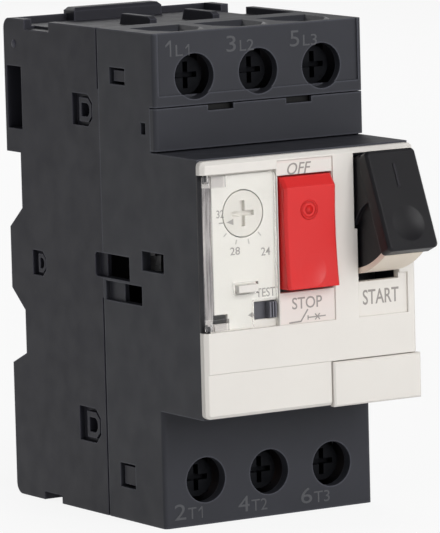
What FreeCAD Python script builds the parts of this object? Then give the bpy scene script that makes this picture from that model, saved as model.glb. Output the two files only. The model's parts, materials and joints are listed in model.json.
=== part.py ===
import FreeCAD, Part
import math
import os

# Three-pole motor protection switch with two push buttons, for a 35 mm rail.
# Millimetres. X points right, Y to the back, Z up. The origin is the middle of the rail seat.

V = FreeCAD.Vector
RIGHT = V(1, 0, 0)
BACK = V(0, 1, 0)
UP = V(0, 0, 1)

# Casing
CASE_W = 44.4
CASE_H = 89.0
TERM_DEPTH = 47.8        # rail seat to the terminal faces
ACROSS = CASE_W / 44.4   # growth of the width, height and depth over the usual switch
UPRIGHT = CASE_H / 89.0
INWARD = TERM_DEPTH / 47.8
WALL = 1.8
THIN_WALL = 1.4
SEAM_DEPTH = 28.5 * INWARD  # rail seat to the joint of the two casings
TIER_RISE = 13.8         # terminal face to the front edge of the middle tier
TIER_H = 46.4 * UPRIGHT
BLOCK_RISE = 5.0         # rear blocks behind the rail seat
EDGE_R = 0.8
CORNER_R = 2.0
TOP_SINK = 1.3           # rear top face below the side walls
SHELF_T = 1.2
SEAM_WINDOW = (-0.7, 3.7)  # heights of the accessory window across the joint
AUX_CLIP_W = 4.4         # clips that hold the auxiliary cover
AUX_CLIP_T = 1.4
AUX_CLIP_DEEP = 4.6      # their ends behind the terminal face
AUX_CLIP_DROP = 5.0      # their lower faces below the band
NOTCH_W = 5.4            # pry notches of the auxiliary cover
NOTCH_H = 1.0
NOTCH_DEEP = 1.2
NOTCH_SHIFT = 1.55       # notch middle outside the wall between two poles

# Rail
RAIL_H = 35.0
RAIL_T = 1.0
RAIL_GAP = 0.3
HOOK_LAP = 1.6
RECESS_FOOT = 0.2        # rail recess below the lower lip of the rail
RECESS_HEAD = 2.2        # rail recess above its upper lip
LATCH_W = 14.0           # flange of the rail latch
LATCH_T = 1.9
LATCH_FRONT = 1.15       # flange behind the rail seat
LATCH_PLAY = 0.15
SPINE_W = 10.0           # thicker middle of the latch
LATCH_PEG_TOP = 10.1     # spring peg above the foot of the casing
LATCH_PEG_H = 1.6
LATCH_WINDOW = 5.5       # top of the spring window below the rail lip

# Poles and terminals
POLE_PITCH = 13.5 * ACROSS
PARTITION = 1.4
SCREW_INSET = 8.1 * UPRIGHT  # screw axis below the casing top
SCREW_HOLE_D = 8.2
SCREW_HEAD_D = 7.0
SCREW_D = 3.9
SCREW_SLOT_L = 4.8
SCREW_SLOT_W = 1.0
SCREW_SLOT_DEEP = 1.5
CLAMP_W = 9.2 * ACROSS
CLAMP_OPEN = 4.7         # wire room under a loose saddle
CLAMP_STROKE = 4.2
BOSS_W = 6.4
BOSS_T = 2.6
STRIP_T = 1.2
STRIP_W = 5.0
TONGUE_X = 0.5           # bimetal tongue beside the middle of its pole

# Contacts
CONTACT_Z = 8.0
CONTACT_W = 3.6
CONTACT_STROKE = 2.8
ARC_PLATES = 4
ARC_PITCH = 3.4
ARC_PLATE_T = 0.8
ARC_FIRST = 3.7          # first plate before the conductor on the back wall
ARC_CLEAR = 0.85          # plates clear of the pole walls

# Front cover and its controls
COVER_LAP = 0.3          # cover past the casing at each side
COVER_INSET = 0.3        # cover inside the tier at top and bottom
COVER_T = 1.8
COVER_BEVEL = 0.7
FLAP_X = -6.9 * ACROSS   # right edge of the flap recess
FLAP_LOW = -7.5
FLAP_SINK = 1.2
FLAP_T = 0.9
HINGE_R = 0.75           # round hinge edge of the flap
HINGE_INSET = 1.2        # hinge axis inside the edge of the cover
HINGE_SINK = 0.6         # hinge axis behind the cover face
HINGE_REACH = 1.2        # hinge groove past the axis
PEG_R = 0.4              # hinge pegs on the cover
PEG_L = 1.2
LUG_H = 2.0              # thicker ends of the flap at the hinge
LUG_W = 3.6
LUG_RISE = 0.4
DIAL_X = -13.6 * ACROSS
DIAL_D = 8.2
DIAL_SHAFT_D = 4.0
DIAL_SLOT_L = 4.6
DIAL_SLOT_W = 0.9
DIAL_SLOT_DEEP = 0.8
SEAL_LOW = -0.8
SEAL_W = 4.1
SEAL_H = 1.3
TEST_LEFT = -11.7 * ACROSS
TEST_LOW = -6.1
TEST_HIGH = -2.9
TEST_STROKE = 2.8
STEM_W = 1.3             # stem from the test slide to the trip bar
STOP_LEFT = -6.3 * ACROSS
STOP_W = 10.9 * ACROSS
STOP_PROUD = 1.95
STOP_LEAN = 0.6          # lower end of STOP further forward than its upper part
STOP_SCOOP = 0.45        # hollow of its curved front
STOP_FOOT = -1.0
STOP_ANGLE = 6.0
START_LEFT = 9.7 * ACROSS
START_W = 10.7 * ACROSS
START_ANGLE = 23.0
START_FACE = 8.1         # pivot to the START face
START_T = 2.9            # thickness of the START face plate
START_FOOT = -0.05       # lower end of the START skirt
FACE_LIFT = 0.8          # lower edge of the START face above it, when pressed
SKIRT_INSET = 0.6        # skirt inside the left edge of the START face
SKIRT_W = 8.2 * ACROSS
SKIRT_T = 1.0
SKIRT_BACK = 5.8         # skirt end behind the pivot when pressed
FLANK_T = 1.2
FLANK_INSET = 0.1        # left flank inside the edge of the START face
FLANK_R = 8.3            # round cut-out in the START flanks
LINING_T = 0.5           # wall that closes the left cut-out
DISH_R = 14.0            # finger dishes of both buttons
DISH_DEPTH = 0.4
PIVOT_SINK = 3.9         # button pivot behind the cover face
PIN_D = 1.8
EAR_REACH = 2.9          # left ear of the pin beside STOP
START_RISE = 0.3         # START above the pivot, when pressed
START_WEB = 1.5          # web of START below the pivot
SPRING_WIRE = 0.5
SPRING_TURNS = 3
HUB_R = 1.6
LABEL_W = 10.6 * ACROSS  # sunk panel below START
LABEL_DROP = 6.3         # its lower edge below the START opening
BLANK_H = 8.0            # recess of the blanking plate
BLANK_DROP = 0.15        # step of the cover beside the blanking plate
BLANK_SINK = 1.0
BLANK_PROUD = 0.4
BLANK_PEG = 1.8          # square pegs of the blanking plate

# Mechanism
FRAME_TOP = 2.7          # top of the frame below the pivot
FLANGE_T = 1.2
FLANGE_DEEP = 4.6
DIAL_BOSS_W = 6.4
DIAL_BOSS_T = 1.4
LEVER_SHIFT = 0.8        # lever post right of the edge of START
LEVER_BELOW = 5.2        # lever post below the pivot
LEVER_ARM_W = 2.0
LEVER_HOOK_L = 6.2
LEVER_HOOK_T = 1.2
LEVER_HOOK_H = 1.6
LEVER_POST_R = 1.5
LEVER_HUB_R = 2.6
LEVER_DEEP = 5.2         # latch lever behind the terminal face
LEVER_T = 2.0
TRIP_BAR_H = 2.8
TRIP_BAR_T = 1.9
TRIP_BAR_GAP = 1.2       # trip bar before the clamp plates
TRIP_BAR_BELOW = 9.0     # trip bar below the lever post
FORK_T = 1.2
FORK_PLAY = 1.0          # fork of the trip bar beside the lever arm
FINGER_T = 1.2           # fingers of the trip bar at the bimetal strips
FINGER_L = 4.6
FINGER_X = 2.2
CARRIER_H = 6.4
CARRIER_GAP = 1.2        # carrier clear of the side walls
CAGE_W = 8.0             # cages of the bridges
CAGE_H = 4.8
CAGE_T = 1.2
LEAF_W = 3.2             # contact springs
LEAF_L = 10.0
LEAF_T = 0.3
STRIP_PAST = 2.2         # strips past the middle of their contacts
PLATE_BELOW = 5.6        # clamp plates below and above the screw
PLATE_ABOVE = 5.0
COIL_R = 3.5             # middle of the flat wire of the trip coils
COIL_WIRE_W = 2.0
COIL_WIRE_T = 1.4
COIL_TURNS = 3

# Fits
RUN_FIT = 0.05           # radial, turning parts
PRESS_GAP = 0.03         # radial, parts that stay put
SLIDE_GAP = 0.2
MOVE_GAP = 0.3
TOUCH_GAP = 0.4          # pushers before they meet

# Places that follow from the sizes
HALF_W = CASE_W / 2
HALF_H = CASE_H / 2
HALF_TIER = TIER_H / 2
COVER_W = CASE_W + 2 * COVER_LAP
COVER_H = TIER_H - 2 * COVER_INSET
FLAP_HIGH = HALF_TIER - 2.7
DIAL_Z = HALF_TIER - 10.1
STOP_TOP = 18.9 * UPRIGHT
PIVOT_Z = 19.2 * UPRIGHT
SKIRT_R = PIVOT_Z - START_FOOT
SKIRT_LEFT = START_LEFT + SKIRT_INSET
SKIRT_RIGHT = SKIRT_LEFT + SKIRT_W
PUSH_X = SKIRT_LEFT + SKIRT_W / 2
START_X = START_LEFT + START_W / 2
SLOT_LOW = START_FOOT - 1.2
SEAT_Z = START_FOOT + 5.3 * UPRIGHT  # spring seat of START
IN_W = HALF_W - WALL
IN_TIER = HALF_W - THIN_WALL
Y_SEAM = -SEAM_DEPTH
Y_TERM = -TERM_DEPTH
Y_TIER = Y_TERM - TIER_RISE
Y_FACE = Y_TIER - COVER_T
Y_FLOOR = Y_FACE + FLAP_SINK
Y_PIVOT = Y_FACE + PIVOT_SINK
Y_FRAME = Y_TIER + 9.2
FRAME_T = 1.4
POLES = (-POLE_PITCH, 0.0, POLE_PITCH)
SCREW_Z = HALF_H - SCREW_INSET
AUX_TOP = SCREW_Z - 5.1
AUX_T = 1.8
ROOF_Z = SCREW_Z - 8.0
Y_PLATE = Y_TERM + 12.3
PLATE_T = 1.6
Y_SADDLE = Y_PLATE - CLAMP_OPEN
SADDLE_T = 1.3
HEAD_H = 2.8
Y_RUN = -3.8             # front face of the conductors along the back wall
Y_LEAD = Y_RUN - 5.2      # front face of the lead behind a trip coil
TIP_T = 1.0
Y_TIP = Y_RUN - TIP_T
Y_MOVING = Y_TIP - CONTACT_STROKE - 0.05
BRIDGE_T = 1.4
Y_BRIDGE = Y_MOVING - 0.75
Y_CARRIER = Y_BRIDGE - BRIDGE_T - 2.9
CARRIER_T = 3.1
LOBE_R = 1.4
LOBE_W = 3.0
LOBE_DROP = 7.6 * UPRIGHT
LOBE_PAD = 1.3           # half height of the pad that meets the lobe
Y_LOBE = Y_PIVOT + 0.75
LOBE_Z = PIVOT_Z - LOBE_DROP
RAIL_TOP = RAIL_H / 2
Y_HOOK = RAIL_T + RAIL_GAP
STOP_X = STOP_LEFT + STOP_W / 2
BLANK_LEFT = STOP_LEFT + STOP_W - 0.7
LATCH_TRAVEL = 4.0


def box(x0, x1, y0, y1, z0, z1):
    return Part.makeBox(x1 - x0, y1 - y0, z1 - z0, V(x0, y0, z0))


def centred(x, half, y0, y1, z0, z1):
    """A box centred on x."""
    return box(x - half, x + half, y0, y1, z0, z1)


def rod_x(y, z, radius, x0, x1):
    return Part.makeCylinder(radius, x1 - x0, V(x0, y, z), RIGHT)


def rod_y(x, z, radius, y0, y1):
    return Part.makeCylinder(radius, y1 - y0, V(x, y0, z), BACK)


def rod_z(x, y, radius, z0, z1):
    return Part.makeCylinder(radius, z1 - z0, V(x, y, z0), UP)


def polygon(points):
    return Part.makePolygon(points + points[:1])


def prism_x(points, x0, x1):
    """A body of the given (y, z) outline between two x planes."""
    return Part.Face(polygon([V(x0, y, z) for y, z in points])).extrude(V(x1 - x0, 0, 0))


def prism_y(points, y0, y1):
    """A body of the given (x, z) outline between two y planes."""
    return Part.Face(polygon([V(x, y0, z) for x, z in points])).extrude(V(0, y1 - y0, 0))


def prism_z(points, z0, z1):
    """A body of the given (x, y) outline between two z planes."""
    return Part.Face(polygon([V(x, y, z0) for x, y in points])).extrude(V(0, 0, z1 - z0))


def fuse(shapes):
    return shapes[0].fuse(shapes[1:]).removeSplitter()


def group(shapes):
    return Part.makeCompound(shapes)


def mirror_x(shape):
    return shape.mirror(V(0, 0, 0), RIGHT)


def mirror_z(shape):
    return shape.mirror(V(0, 0, 0), UP)


def both_sides(shapes):
    return shapes + [mirror_x(shape) for shape in shapes]


def top_and_bottom(shapes):
    return shapes + [mirror_z(shape) for shape in shapes]


def straight(edge, axis):
    return edge.Curve.TypeId == "Part::GeomLine" and edge.Curve.Direction.cross(axis).Length < 1e-6


def round_edges(shape, radius, axis, test):
    """Fillet the straight edges along an axis whose middle passes the test."""
    edges = [edge for edge in shape.Edges if straight(edge, axis) and test(edge.CenterOfMass)]
    return shape.makeFillet(radius, edges)


def near(a, b):
    return abs(a - b) < 1e-4


def edges_at_y(shape, y):
    return [edge for edge in shape.Edges if near(edge.CenterOfMass.y, y)]


def plate_y(x0, x1, y0, y1, z0, z1, radius):
    """A plate facing the front with rounded corners."""
    return round_edges(box(x0, x1, y0, y1, z0, z1), radius, BACK, lambda mid: True)


def ring_points(x, z, radius, sides):
    """Corners of a regular outline with a flat at its foot."""
    step = 2 * math.pi / sides
    angles = [(i + 0.5) * step for i in range(sides)]
    return [(x + radius * math.sin(angle), z + radius * math.cos(angle)) for angle in angles]


def coil(x, z, radius, wide, deep, turns, y0, y1):
    """A coil along Y: open six-sided turns of flat wire, joined by sloping links at the foot."""
    sides = 6
    flat = math.cos(math.pi / sides)
    outer, inner = radius + deep / 2, radius - deep / 2
    gap = radius / 4
    pitch = (y1 - y0 - wide) / (turns - 1)
    parts = []
    for i in range(turns):
        y = y0 + i * pitch
        turn = prism_y(ring_points(x, z, outer, sides), y, y + wide)
        bore = prism_y(ring_points(x, z, inner, sides), y - 1, y + wide + 1)
        parts.append(turn.cut([bore, box(x - gap, x + gap, y - 1, y + wide + 1, z - outer, z)]))
        if i < turns - 1:
            link = [(x - gap, y), (x + gap, y + pitch), (x + gap, y + pitch + wide), (x - gap, y + wide)]
            parts.append(prism_z(link, z - outer * flat, z - inner * flat))
    return fuse(parts)


# Casings

def casing_outline():
    """Side view of the rear casing with its rail recess, from the seam round the back."""
    foot = -RAIL_TOP - RECESS_FOOT
    step = RAIL_TOP + RECESS_HEAD
    return [
        (Y_SEAM, -HALF_H), (BLOCK_RISE, -HALF_H), (BLOCK_RISE, foot - 2.2), (0, foot),
        (0, -9.6), (BLOCK_RISE - 0.4, -5.8), (BLOCK_RISE - 0.4, 5.6), (0, 9.4),
        (0, step), (BLOCK_RISE, step), (BLOCK_RISE, HALF_H), (Y_SEAM, HALF_H),
    ]


def rear_hollow():
    foot = -RAIL_TOP - RECESS_FOOT
    step = RAIL_TOP + RECESS_HEAD + WALL
    floor = -HALF_H + WALL + 0.6
    roof = HALF_H - WALL - TOP_SINK
    inner = BLOCK_RISE - WALL
    return prism_x([
        (Y_SEAM - 1, floor), (inner, floor), (inner, foot - 3.4), (-WALL, foot - 1.2),
        (-WALL, -8.8), (inner - 0.4, -4.9), (inner - 0.4, 4.7), (-WALL, 8.6),
        (-WALL, step), (inner, step), (inner, roof), (Y_SEAM - 1, roof),
    ], -IN_W, IN_W)


def d_prism(y0, y1, z0, z1, x0, x1):
    """A D-shaped body, flat to the back and round to the front."""
    body = box(x0, x1, y0, y1, z0, z1)
    return round_edges(body, 0.42 * (z1 - z0), RIGHT, lambda mid: near(mid.y, y0))


def bevel_front(shape, size):
    """Chamfer the two front edges that run across the casing."""
    edges = [edge for edge in edges_at_y(shape, shape.BoundBox.YMin) if straight(edge, RIGHT)]
    return shape.makeChamfer(size, edges)


def d_socket(y0, y1, z0, z1):
    """Pocket for side-mounted add-ons: a bevelled recess, a collar in it and a D-shaped hole."""
    height = z1 - z0
    rim = 0.12 * height
    pocket = bevel_front(box(HALF_W - 1.1, HALF_W + 1, y0, y1, z0, z1), 0.26 * height)
    collar = box(HALF_W - 1.2, HALF_W - 0.25, y0 + rim, y1 - 3 * rim, z0 + rim, z1 - rim)
    hole = d_prism(y0 + 2 * rim, y1 - 4 * rim, z0 + 2.4 * rim, z1 - 2.4 * rim, IN_W - 1, HALF_W + 1)
    return pocket, bevel_front(collar, 0.2 * height), hole


def rear_top_features():
    """Raised barriers between the poles and the ridge over the back wall."""
    sunk = HALF_H - TOP_SINK
    ribs = []
    for x in (-POLE_PITCH / 2, POLE_PITCH / 2):
        profile = [
            (Y_SEAM + 5.5, sunk - 0.5), (Y_SEAM + 5.5, HALF_H + 0.2), (Y_SEAM + 6.5, HALF_H + 0.7),
            (Y_SEAM + 15.5, HALF_H + 0.7), (Y_SEAM + 16.5, sunk - 0.5),
        ]
        ribs.append(prism_x(profile, x - PARTITION / 2, x + PARTITION / 2))
    ridge = box(-9.5, 9.5, 0.6, BLOCK_RISE - 0.6, sunk - 0.5, HALF_H + 1.1)
    ridge = ridge.makeChamfer(0.6, [e for e in ridge.Edges if near(e.CenterOfMass.z, HALF_H + 1.1)])
    return ribs + [ridge]


def snap_tongue(z0, z1):
    """Tongue of the rear casing that catches in a window of the front casing."""
    inner = IN_W - SLIDE_GAP
    tongue = box(inner - 1.2, inner, Y_SEAM - 9.8, Y_SEAM + 6, z0, z1)
    root = box(inner - 1.2, IN_W + 0.3, Y_SEAM, Y_SEAM + 6, z0, z1)
    barb = prism_y([(inner - 0.2, z0), (HALF_W - 0.5, z0), (HALF_W - 0.5, z1), (inner - 0.2, z1)],
                   Y_SEAM - 9.0, Y_SEAM - 4.8)
    return fuse([tongue, root, barb])


def snap_heights():
    return ((SCREW_Z - 1.7, SCREW_Z + 1.3), (-SCREW_Z - 2.1, -SCREW_Z + 2.3))


def latch_housing():
    """Solid guide for the rail latch inside the lower rear block."""
    foot = -RAIL_TOP - RECESS_FOOT
    return prism_x([
        (-WALL, -HALF_H), (BLOCK_RISE, -HALF_H), (BLOCK_RISE, foot - 2.2), (0, foot), (-WALL, foot),
    ], -9.4, 9.4)


def latch_channel():
    low, high = -HALF_H - 1, -RAIL_TOP + 1
    front, back = LATCH_FRONT - LATCH_PLAY, LATCH_FRONT + LATCH_T + LATCH_PLAY
    wide = centred(0, LATCH_W / 2 + SLIDE_GAP, front, back, low, high)
    slot = centred(0, SPINE_W / 2 + SLIDE_GAP, back - SLIDE_GAP, BLOCK_RISE + 1, low, high)
    return fuse([wide, slot])


def rail_hook():
    """Fixed hook that holds the upper lip of the rail."""
    tip = RAIL_TOP - HOOK_LAP
    return prism_x([
        (Y_HOOK, RAIL_TOP + 2.4), (Y_HOOK, tip), (Y_HOOK + 1.2, tip - 0.6), (BLOCK_RISE, tip + 1.4),
        (BLOCK_RISE, RAIL_TOP + 2.4),
    ], -10.0, 10.0)


def rear_partitions():
    """Walls between the poles, roofs of the arc chambers and rests behind the conductors."""
    roof = HALF_H - WALL - TOP_SINK
    floor = -HALF_H + WALL
    walls = []
    for x in (-POLE_PITCH / 2, POLE_PITCH / 2):
        wall = centred(x, PARTITION / 2, Y_SEAM + 0.6, -WALL + 0.2, floor, roof + 0.2)
        gate = centred(x, PARTITION, Y_SEAM, Y_RUN - 1.2, -3.8, 3.8)
        walls.append(wall.cut(gate))
    shelves = top_and_bottom([box(-IN_W - 0.2, IN_W + 0.2, Y_SEAM + 0.6, -6.0, ROOF_Z, ROOF_Z + SHELF_T)])
    rests = []
    for x in POLES:
        rests += top_and_bottom([centred(x, 1.8, Y_RUN + STRIP_T, -WALL + 0.2, 12.0, 17.0)])
    return walls + shelves + rests


def rear_casing():
    body = prism_x(casing_outline(), -HALF_W, HALF_W)
    outer_corner = lambda mid: near(mid.y, BLOCK_RISE) and near(abs(mid.z), HALF_H)
    body = round_edges(body, CORNER_R, RIGHT, outer_corner)
    body = body.cut(rear_hollow())
    sunk = box(-IN_W - 0.2, IN_W + 0.2, Y_SEAM - 1, BLOCK_RISE - 1.6, HALF_H - TOP_SINK, HALF_H + 1)
    body = body.cut(sunk)

    added = [latch_housing()] + rear_partitions() + rear_top_features()
    for z0, z1 in snap_heights():
        added += both_sides([snap_tongue(z0 + 0.5, z1 - 0.5)])
    pocket_low = RAIL_TOP + 6.6
    pocket_wall = box(IN_W - 2.6, IN_W + 0.2, -WALL - 0.8, BLOCK_RISE - WALL + 0.2,
                      pocket_low - 1.7, HALF_H - 7.2)
    added += both_sides([pocket_wall]) + [rail_hook()]

    sockets = [d_socket(Y_SEAM + 2.3, Y_SEAM + 9.3, SCREW_Z - 10.0, SCREW_Z - 4.2),
               d_socket(Y_SEAM + 2.4, Y_SEAM + 9.8, -SCREW_Z + 4.8, -SCREW_Z + 11.1),
               d_socket(-8.1, -3.4, -2.6, 2.0)]
    removed = [latch_channel()]
    side = [box(HALF_W - 3.0, HALF_W + 1, -1.0, BLOCK_RISE - 0.8, pocket_low, HALF_H - 8.8)]
    side += [box(IN_W - 0.5, HALF_W + 1, -11.4, -2.6, HALF_H - 1.8, HALF_H + 1)]
    side += [round_edges(box(HALF_W - 1.0, HALF_W + 1, Y_SEAM - 1, Y_SEAM + 2.7, *SEAM_WINDOW), 0.8, RIGHT,
                         lambda mid: mid.y > Y_SEAM)]
    side += [box(HALF_W - 0.7, HALF_W + 1, Y_SEAM - 1, Y_SEAM + 0.45, SCREW_Z - 2.9, HALF_H + 1)]
    side += [box(HALF_W - 0.7, HALF_W + 1, Y_SEAM - 1, Y_SEAM + 0.45, -HALF_H - 1, -4.5)]
    for pocket, collar, hole in sockets:
        side += [pocket.cut(collar), hole]
    removed += both_sides(side)
    removed += [box(-HALF_W - 1, HALF_W + 1, -11.5, -5.2, -HALF_H - 1, -HALF_H + 1.5)]

    body = fuse([body] + added)
    body = body.cut(removed)
    peg_top = -HALF_H + LATCH_PEG_TOP
    peg = box(-1.6, 1.6, 0.8, 2.9, peg_top - LATCH_PEG_H, peg_top)
    return fuse([body, peg])


def wire_funnel(x):
    """Wire entry through the top wall: a straight slot that opens out to a wider mouth."""
    back = Y_PLATE + 0.6
    mid = Y_SADDLE - 0.8
    front = Y_TERM + 2.8
    half = CLAMP_W / 2

    def outline(z, grow):
        near_half = 0.55 * half + grow
        far_half = half + grow
        corners = [(-near_half, front - grow), (near_half, front - grow), (far_half, mid),
                   (far_half, back + grow), (-far_half, back + grow), (-far_half, mid)]
        return polygon([V(x + px, py, z) for px, py in corners])

    mouth = Part.makeLoft([outline(HALF_H + 0.01, 0.75), outline(HALF_H - 0.9, 0.0)], True, True)
    shaft = Part.Face(outline(HALF_H - WALL - 0.6, 0.0)).extrude(V(0, 0, WALL))
    return fuse([mouth, shaft])


def front_hollow():
    wall = Y_TERM + 2.0
    behind = Y_TERM + AUX_T + WALL + 0.2
    inner = HALF_TIER - WALL
    top = HALF_H - WALL
    chamber = prism_x([
        (Y_SEAM + 1, -top), (wall, -top), (wall, -inner), (behind, -inner), (behind, AUX_TOP + 1.6),
        (wall, AUX_TOP + 1.6), (wall, top), (Y_SEAM + 1, top),
    ], -IN_W, IN_W)
    tier = box(-IN_TIER, IN_TIER, Y_TIER - 1, behind + 0.5, -inner, inner)
    return [chamber, tier]


def front_ribs():
    """Walls between the terminals and the shelves that part them from the mechanism."""
    ribs = []
    inner = HALF_TIER - WALL
    for x in (-POLE_PITCH / 2, POLE_PITCH / 2):
        ribs += top_and_bottom([centred(x, PARTITION / 2, Y_TERM + 1, Y_SEAM, inner, HALF_H - 1)])
    ribs += top_and_bottom([box(-IN_W - 0.2, IN_W + 0.2, Y_TERM + 1, Y_TERM + 9.3, inner, HALF_TIER)])
    return ribs


def side_windows():
    """Openings of one side wall: accessory windows, snap windows and the small catch slot."""
    low, high = HALF_W - 3, HALF_W + 1
    cuts = [box(low, high, Y_TERM + 10.1, Y_SEAM + 1, *SEAM_WINDOW)]
    cuts += [box(low, high, Y_TERM - 1.7, Y_TERM + 5.7, 1.8, 5.3)]
    cuts += [box(low, high, Y_TERM + 6.0, Y_TERM + 13.3, -4.7, -1.2)]
    cuts += [box(HALF_W - 0.9, high, Y_TERM + 13.0, Y_TERM + 18.5, -4.7, -1.2)]
    cuts += [box(low, high, Y_TERM + 3.3, Y_TERM + 4.9, AUX_TOP - 5.0, AUX_TOP - 2.9)]
    for z0, z1 in snap_heights():
        cuts += [box(low + 1.1, high, Y_SEAM - 9.3, Y_SEAM - 4.1, z0, z1)]
    return cuts


def front_casing():
    body = prism_x([
        (Y_SEAM, -HALF_H), (Y_TERM, -HALF_H), (Y_TERM, -HALF_TIER), (Y_TIER, -HALF_TIER),
        (Y_TIER, HALF_TIER), (Y_TERM, HALF_TIER), (Y_TERM, HALF_H), (Y_SEAM, HALF_H),
    ], -HALF_W, HALF_W)
    body = round_edges(body, EDGE_R, UP, lambda mid: near(mid.y, Y_TERM) and near(abs(mid.x), HALF_W))
    body = body.cut(front_hollow())
    body = fuse([body] + front_ribs())
    removed = both_sides(side_windows())
    for x in POLES:
        removed += top_and_bottom([wire_funnel(x)])
        removed += top_and_bottom([rod_y(x, SCREW_Z, SCREW_HOLE_D / 2, Y_TERM - 1, Y_TERM + 3)])
    removed += [box(-HALF_W + 1.0, HALF_W - 1.0, Y_TERM - 1, Y_TERM + 0.35, SCREW_Z - 3.1, HALF_H + 1)]
    removed += [box(-HALF_W - 1, HALF_W + 1, Y_TERM - 1, Y_TERM + AUX_T, HALF_TIER, AUX_TOP)]
    for x in (-POLE_PITCH, POLE_PITCH):
        removed += [aux_clip(x, TOUCH_GAP)]
    seat = PIN_D / 2 + PRESS_GAP
    removed += [rod_x(Y_PIVOT, PIVOT_Z, seat, IN_TIER - 1, IN_TIER + 0.8)]
    removed += [box(IN_TIER - 1, IN_TIER + 0.8, Y_TIER - 1, Y_PIVOT, PIVOT_Z - seat, PIVOT_Z + seat)]
    return body.cut(removed)


def aux_clip(x, grow):
    """Clip of the auxiliary cover, or its slot."""
    low = AUX_TOP - AUX_CLIP_DROP
    return centred(x, AUX_CLIP_W / 2 + grow, Y_TERM + 1, Y_TERM + AUX_CLIP_DEEP + grow,
                   low - grow, low + AUX_CLIP_T + grow)


def auxiliary_cover():
    """Snap-in band over the auxiliary terminals, with two pry notches in its top edge."""
    low, high = HALF_TIER + MOVE_GAP, AUX_TOP - SLIDE_GAP
    plate = box(-HALF_W, HALF_W, Y_TERM, Y_TERM + AUX_T, low, high)
    plate = round_edges(plate, EDGE_R, UP, lambda mid: near(mid.y, Y_TERM))
    parts = [plate]
    for x in (-POLE_PITCH, POLE_PITCH):
        parts += [aux_clip(x, 0)]
    notch = centred(POLE_PITCH / 2 + NOTCH_SHIFT, NOTCH_W / 2, Y_TERM - 1, Y_TERM + NOTCH_DEEP,
                    high - NOTCH_H, high + 1)
    notches = both_sides([notch])
    return fuse(parts).cut(notches)


# Front cover

def stop_low():
    """Lowest height that the front edge of STOP comes to when it is pressed."""
    turn = math.radians(STOP_ANGLE)
    out = PIVOT_SINK + STOP_PROUD + STOP_LEAN
    return PIVOT_Z - (PIVOT_Z - STOP_FOOT) * math.cos(turn) - out * math.sin(turn)


def pivot_ear(x0, x1):
    """Ear behind the cover with a slot that the button pin snaps into from the back."""
    ear = box(x0, x1, Y_TIER - 0.5, Y_PIVOT + 1.9, PIVOT_Z - 1.9, HALF_TIER - WALL - SLIDE_GAP)
    half = PIN_D / 2 + PRESS_GAP
    return ear.cut(box(x0 - 1, x1 + 1, Y_PIVOT - half, Y_PIVOT + 3, PIVOT_Z - half, PIVOT_Z + half))


def ear_spans():
    left = (STOP_LEFT - EAR_REACH, STOP_LEFT - MOVE_GAP)
    middle = (STOP_LEFT + STOP_W + MOVE_GAP, START_LEFT - MOVE_GAP)
    return left, middle


def cover_lips():
    """Edges behind the cover that sit in the opening of the casing."""
    back = Y_TIER + 4.5
    edge = HALF_TIER - WALL - SLIDE_GAP
    side = IN_TIER - SLIDE_GAP
    end = side - 3.1
    bottom = box(-end, end, Y_TIER - 0.5, back, -edge, -edge + 1.2)
    left = box(-side, -side + 1.2, Y_TIER - 0.5, back, -edge + 3.9, FLAP_LOW - 1.0)
    top = box(-end, DIAL_X + 2.6, Y_TIER - 0.5, back, edge - 0.9, edge)
    return [bottom, left, top]


def seal_loop():
    high = SEAL_LOW + SEAL_H
    loop = centred(DIAL_X, SEAL_W / 2, Y_FACE - 0.6, Y_FLOOR + 0.3, SEAL_LOW, high)
    return loop.cut(centred(DIAL_X, 0.4, Y_FACE - 0.3, Y_FACE + 0.5, SEAL_LOW - 1, high + 1))


def hinge_x():
    return -COVER_W / 2 + HINGE_INSET


def hinge_y():
    return Y_FACE + HINGE_SINK


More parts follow.
